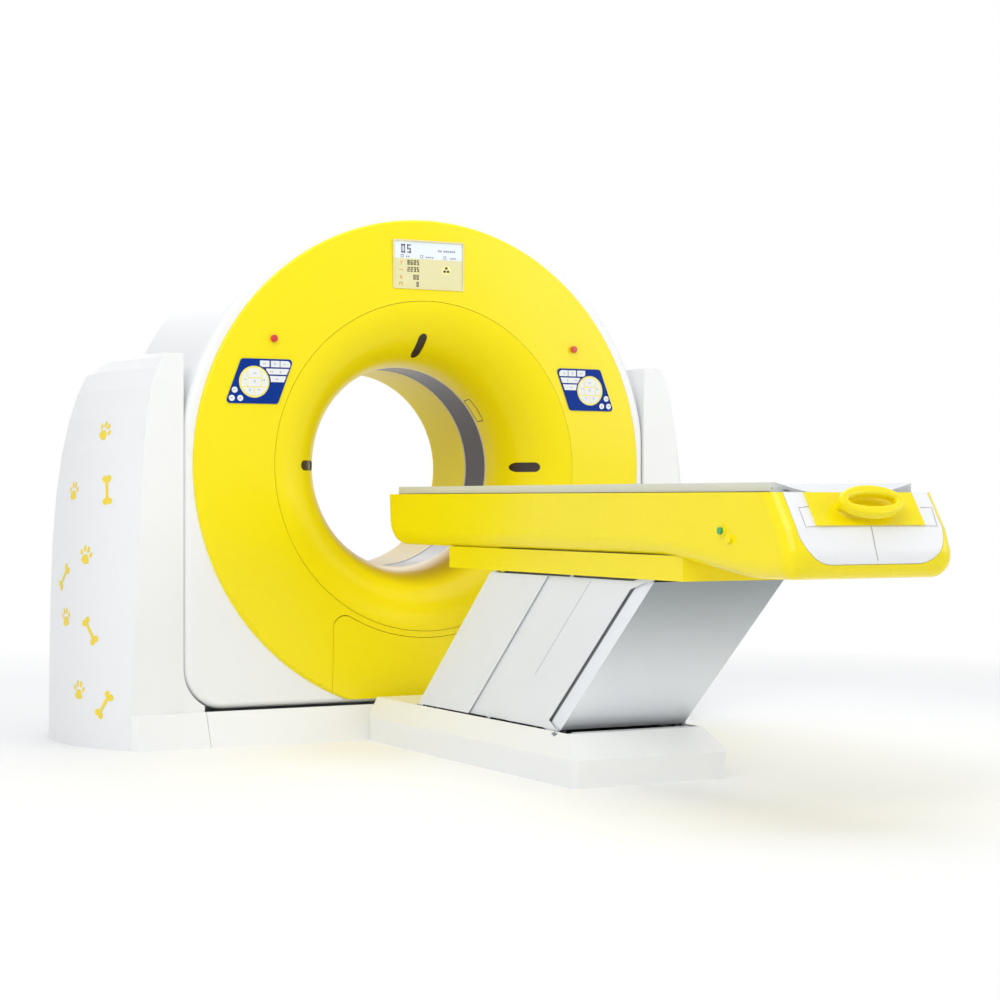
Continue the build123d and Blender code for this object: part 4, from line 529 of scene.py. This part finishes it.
def key_marks(name, side):
    """Small bars on the keys, dropped onto them."""
    verts, faces = [], []
    for order, (inwards, up) in enumerate(MARK_SPOTS):
        for bar in MARK_BARS[order % len(MARK_BARS)]:
            faces += prism_faces(4, len(verts))
            for lift in (MARK_LIFT + MARK_THICK, MARK_LIFT):
                verts += [dropped(key_tree, side * (RING_X - inwards - x * MM),
                                  RING_Z + up + z * MM, lift) for x, z in rectangle(*bar)]
    if side > 0:
        faces = [face[::-1] for face in faces]
    piece(name, verts, faces, KEY_MARK, "gantry_drum")


for side, word in SIDES:
    key_plate(f"key_plate_{word}", side * RING_X)
    key_marks(f"key_marks_{word}", side)


# The skirt under the table: the subframe cover with its foot end cut back, as in the photo

SKIRT_END = -2.302
SKIRT_WALL = 0.003
SKIRT_HALF_W = 0.2262                        # just outside the cover's side walls
SKIRT_OVERLAP = 0.006                        # the end wall's way into the table's belly
skirt_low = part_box("subframe_cover")[0].z
belly = tree_of("body_cover").ray_cast(Vector((0.1, SKIRT_END, 0.5)), Vector((0, 0, 1)))[0]

work = bmesh.new()
work.from_mesh(NODES["subframe_cover"].data)
bmesh.ops.bisect_plane(work, geom=work.verts[:] + work.edges[:] + work.faces[:],
                       plane_co=(0, SKIRT_END, 0), plane_no=(0, -1, 0), clear_outer=True)
wall = [work.verts.new((x, y, z)) for z in (skirt_low, belly.z + SKIRT_OVERLAP)
        for x, y in rectangle(-SKIRT_HALF_W, SKIRT_HALF_W, SKIRT_END, SKIRT_END + SKIRT_WALL)]
for face in ((0, 1, 5, 4), (2, 3, 7, 6), (1, 2, 6, 5), (3, 0, 4, 7), (3, 2, 1, 0), (4, 5, 6, 7)):
    work.faces.new([wall[n] for n in face])
mesh = bpy.data.meshes.new("skirt")
work.to_mesh(mesh)
work.free()
mesh.materials.clear()
mesh.materials.append(MATERIALS["yellow_gelcoat"])
skirt = bpy.data.objects.new("skirt", mesh)
SCENE.collection.objects.link(skirt)
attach(skirt, "table")
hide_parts("subframe_cover")


# Fine lines and small plates, laid on the covers through picture points

LINE_LIFT, LINE_THICK = 0.0003, 0.0004
SMALL_LIFT, SMALL_THICK = 0.0003, 0.0006


def line_on(name, tree, pixels, width, material, body, lift=LINE_LIFT, thick=LINE_THICK,
            step=6.0):
    """A thin raised line through picture points, step pixels apart. Rays that miss the surface
    are left out."""
    spots = []
    for (ax, ay), (bx, by) in zip(pixels, pixels[1:]):
        parts = max(1, round(math.hypot(bx - ax, by - ay) / step))
        spots += [(ax + (bx - ax) * n / parts, ay + (by - ay) * n / parts) for n in range(parts)]
    spots.append(pixels[-1])
    found = [pair for pair in (surface_point(tree, *spot) for spot in spots) if pair]
    verts, faces = [], []
    for n, (point, normal) in enumerate(found):
        ahead = found[min(n + 1, len(found) - 1)][0] - found[max(n - 1, 0)][0]
        side = normal.cross(ahead).normalized() * width / 2
        verts += [point + side + normal * lift, point - side + normal * lift,
                  point - side + normal * (lift + thick), point + side + normal * (lift + thick)]
        if n:
            a, b = 4 * (n - 1), 4 * n
            faces += [(a + k, a + (k + 1) % 4, b + (k + 1) % 4, b + k) for k in range(4)]
    faces += [(3, 2, 1, 0), tuple(len(verts) - 4 + k for k in range(4))]
    piece(name, verts, faces, material, body)


def plate_on(name, tree, pixels, material, body):
    """A small flat plate with its corners at picture points."""
    found = [surface_point(tree, *pixel) for pixel in pixels]
    verts = [point + normal * lift for lift in (SMALL_LIFT + SMALL_THICK, SMALL_LIFT)
             for point, normal in found]
    piece(name, verts, prism_faces(len(found)), material, body)


line_on("flare_label_edge", tree_of("bore_flare"),
        ((463.8, 401.0), (469.2, 399.2), (476.5, 408.0), (483.2, 420.4), (477.4, 421.8),
         (470.5, 410.0), (463.8, 401.0)),
        0.0028, BLACK, "gantry_drum", step=2.0)
cap_tree = tree_of("end_cap")
line_on("end_cap_seam", cap_tree, ((871.2, 526.6), (877.9, 560.2), (876.2, 574.6)),
        0.0022, FINE_LINE, "table")
line_on("end_hatch_left", cap_tree,
        ((810.8, 506.4), (798.6, 507.6), (805.9, 527.2), (816.5, 526.4)),
        0.0016, FINE_LINE, "table")
line_on("end_hatch_right", cap_tree,
        ((920.2, 507.4), (931.6, 507.8), (937.2, 526.2), (924.0, 525.8)),
        0.0016, FINE_LINE, "table")
plate_on("base_screw", tree_of("table_base_cover"),
         ((551.5, 733.2), (554.5, 732.2), (558.0, 734.0), (554.0, 736.6)),
         SCREW_GREY, "gantry_base")


# Sheets of the column: a grey strip at each rear corner, and guards inside the side panels that
# close the wedges which open as the panels lean

STRIP_X, STRIP_THICK = 0.2055, 0.0015        # outer face and thickness
STRIP_NEAR_Y, STRIP_FAR_Y = -1.533, -1.562   # at its foot
STRIP_LOW_Z, STRIP_TOP_Z = 0.150, 0.585
STRIP_RISE = (STRIP_TOP_Z - STRIP_LOW_Z) / math.tan(LEAN)
GUARD_X, GUARD_THICK = 0.2005, 0.0018
GUARD_REACH = 0.062         # how far a guard stands from the line of its pivots
GUARD_RUN = 0.214           # length over which its free edge rises to that
GUARD_IN = 0.020            # its tip, from the pivot at the narrow end
GUARD_END = 0.012           # its other end, from the far pivot
GUARD_GAP = 0.003           # its back, from the line of its pivots
GUARD_TIP = 0.006           # its free edge at the tip, from that line

STRIP_OUTLINE = ((STRIP_NEAR_Y, STRIP_LOW_Z), (STRIP_FAR_Y, STRIP_LOW_Z),
                 (STRIP_FAR_Y - STRIP_RISE, STRIP_TOP_Z), (STRIP_NEAR_Y - STRIP_RISE, STRIP_TOP_Z))
TOP_GUARD = ((REAR_TOP_Y + GUARD_IN, PIVOT_TOP_Z - GUARD_GAP),
             (REAR_TOP_Y + GUARD_IN, PIVOT_TOP_Z - GUARD_TIP),
             (REAR_TOP_Y + GUARD_RUN, PIVOT_TOP_Z - GUARD_REACH),
             (FRONT_TOP_Y - GUARD_END, PIVOT_TOP_Z - GUARD_REACH),
             (FRONT_TOP_Y - GUARD_END, PIVOT_TOP_Z - GUARD_GAP))
FOOT_GUARD = ((FRONT_LOW_Y - GUARD_IN, PIVOT_LOW_Z + GUARD_TIP),
              (FRONT_LOW_Y - GUARD_RUN, PIVOT_LOW_Z + GUARD_REACH),
              (REAR_LOW_Y + GUARD_END, PIVOT_LOW_Z + GUARD_REACH),
              (REAR_LOW_Y + GUARD_END, PIVOT_LOW_Z + GUARD_GAP),
              (FRONT_LOW_Y - GUARD_IN, PIVOT_LOW_Z + GUARD_GAP))


def side_sheet(name, side, x, thick, outline, body):
    """A sheet parallel to the column's side panels, its outline in y and z."""
    verts = [(side * (x - t), y, z) for t in (0, thick) for y, z in outline]
    faces = prism_faces(len(outline))
    if side > 0:
        faces = [face[::-1] for face in faces]
    piece(name, verts, faces, STRIP, body)


for side, word in SIDES:
    side_sheet(f"corner_strip_{word}", side, STRIP_X, STRIP_THICK, STRIP_OUTLINE,
               "rear_cover_body")
for side, word in SIDES:
    side_sheet(f"top_guard_{word}", side, GUARD_X, GUARD_THICK, TOP_GUARD, "table")
    side_sheet(f"foot_guard_{word}", side, GUARD_X, GUARD_THICK, FOOT_GUARD, "gantry_base")
line_on("panel_seam_left", tree_of("column_side_panel_c"), ((591.2, 580.5), (535.0, 674.5)),
        0.0014, SEAM_GREY, "panel_c_body", lift=0.0001, thick=0.0002)

# A black plate painted in as the shadow under the cradle's rim at the foot end
plate_on("cradle_rim_painted_shadow_left", tree_of("cradle"),
         ((771.6, 489.4), (771.8, 487.2), (778.5, 487.6), (790.5, 490.6), (784.0, 490.6)),
         BLACK, "cradle_body")


# Camera

camera = bpy.data.objects.new("camera", bpy.data.cameras.new("camera"))
camera.data.lens = FOCAL_PX * SENSOR_MM / FRAME_PX
camera.data.sensor_width = SENSOR_MM
camera.location = CAM_AT
camera.rotation_euler = (math.radians(90), 0, -CAM_TURN)
SCENE.collection.objects.link(camera)
bpy.context.scene.camera = camera


# Light: a white studio to the camera, plain soft light on the object

SCENE.view_settings.view_transform = "Standard"
WORLD_LIGHT = ((0.96, 0.98, 1.0, 1), 0.53)   # colour and strength that light the object
WORLD_SEEN = ((1, 1, 1, 1), 1.0)             # and those that white_rays see
world = bpy.data.worlds.new("studio")
SCENE.world = world
world.use_nodes = True
sky = world.node_tree
sky.nodes.clear()
shaders = []
for color, strength in (WORLD_LIGHT, WORLD_SEEN):
    background = sky.nodes.new("ShaderNodeBackground")
    background.inputs["Color"].default_value = color
    background.inputs["Strength"].default_value = strength
    shaders.append(background.outputs[0])
world_output = sky.nodes.new("ShaderNodeOutputWorld")
sky.links.new(mix_shader(sky, white_rays(sky), *shaders), world_output.inputs[0])

LIGHTS = (("key", (-4.2, -5.0, 4.6), (0, -0.6, 0.8), (3.5, 3.0), 162),
          ("fill", (5.0, -5.2, 2.6), (0, -1.2, 0.8), (4.0, 3.0), 80),
          ("top", (0.0, -1.0, 5.2), (0, -0.8, 0.0), (5.0, 5.0), 110),
          ("back", (1.5, 5.0, 3.6), (0, 0, 0.9), (4.0, 3.0), 85))
for name, location, target, size, power in LIGHTS:
    light = bpy.data.objects.new(name, bpy.data.lights.new(name, "AREA"))
    light.data.shape = "RECTANGLE"
    light.data.size, light.data.size_y = size
    light.data.energy = power
    light.location = location
    light.rotation_euler = (Vector(target) - Vector(location)).to_track_quat("-Z", "Y").to_euler()
    SCENE.collection.objects.link(light)


# Floor: white to the camera far from the object, and a lit floor that keeps the shadow near it

FLOOR_REACH = 60.0
FLOOR_PALE = 0.92
FADE_START, FADE_END = 2.6, 4.4              # distance from the origin
floor_paint = bpy.data.materials.new("floor_white")
floor_paint.use_nodes = True
tree = floor_paint.node_tree
tree.nodes.clear()
matte = tree.nodes.new("ShaderNodeBsdfDiffuse")
matte.inputs["Color"].default_value = (FLOOR_PALE, FLOOR_PALE, FLOOR_PALE, 1)
white = tree.nodes.new("ShaderNodeEmission")
white.inputs["Strength"].default_value = 1.0
coord = tree.nodes.new("ShaderNodeTexCoord")
fade = map_range(tree, length_of(tree, coord.outputs["Object"]), FADE_START, FADE_END)
shown = mix_shader(tree, fade, matte.outputs[0], white.outputs[0])
floor_output = tree.nodes.new("ShaderNodeOutputMaterial")
tree.links.new(mix_shader(tree, white_rays(tree), matte.outputs[0], shown), floor_output.inputs[0])

mesh = bpy.data.meshes.new("floor")
mesh.from_pydata([(x, y, 0) for x, y in rectangle(-FLOOR_REACH, FLOOR_REACH, -FLOOR_REACH,
                                                  FLOOR_REACH)], [], [(0, 1, 2, 3)])
mesh.materials.append(floor_paint)
floor = bpy.data.objects.new("floor", mesh)
SCENE.collection.objects.link(floor)
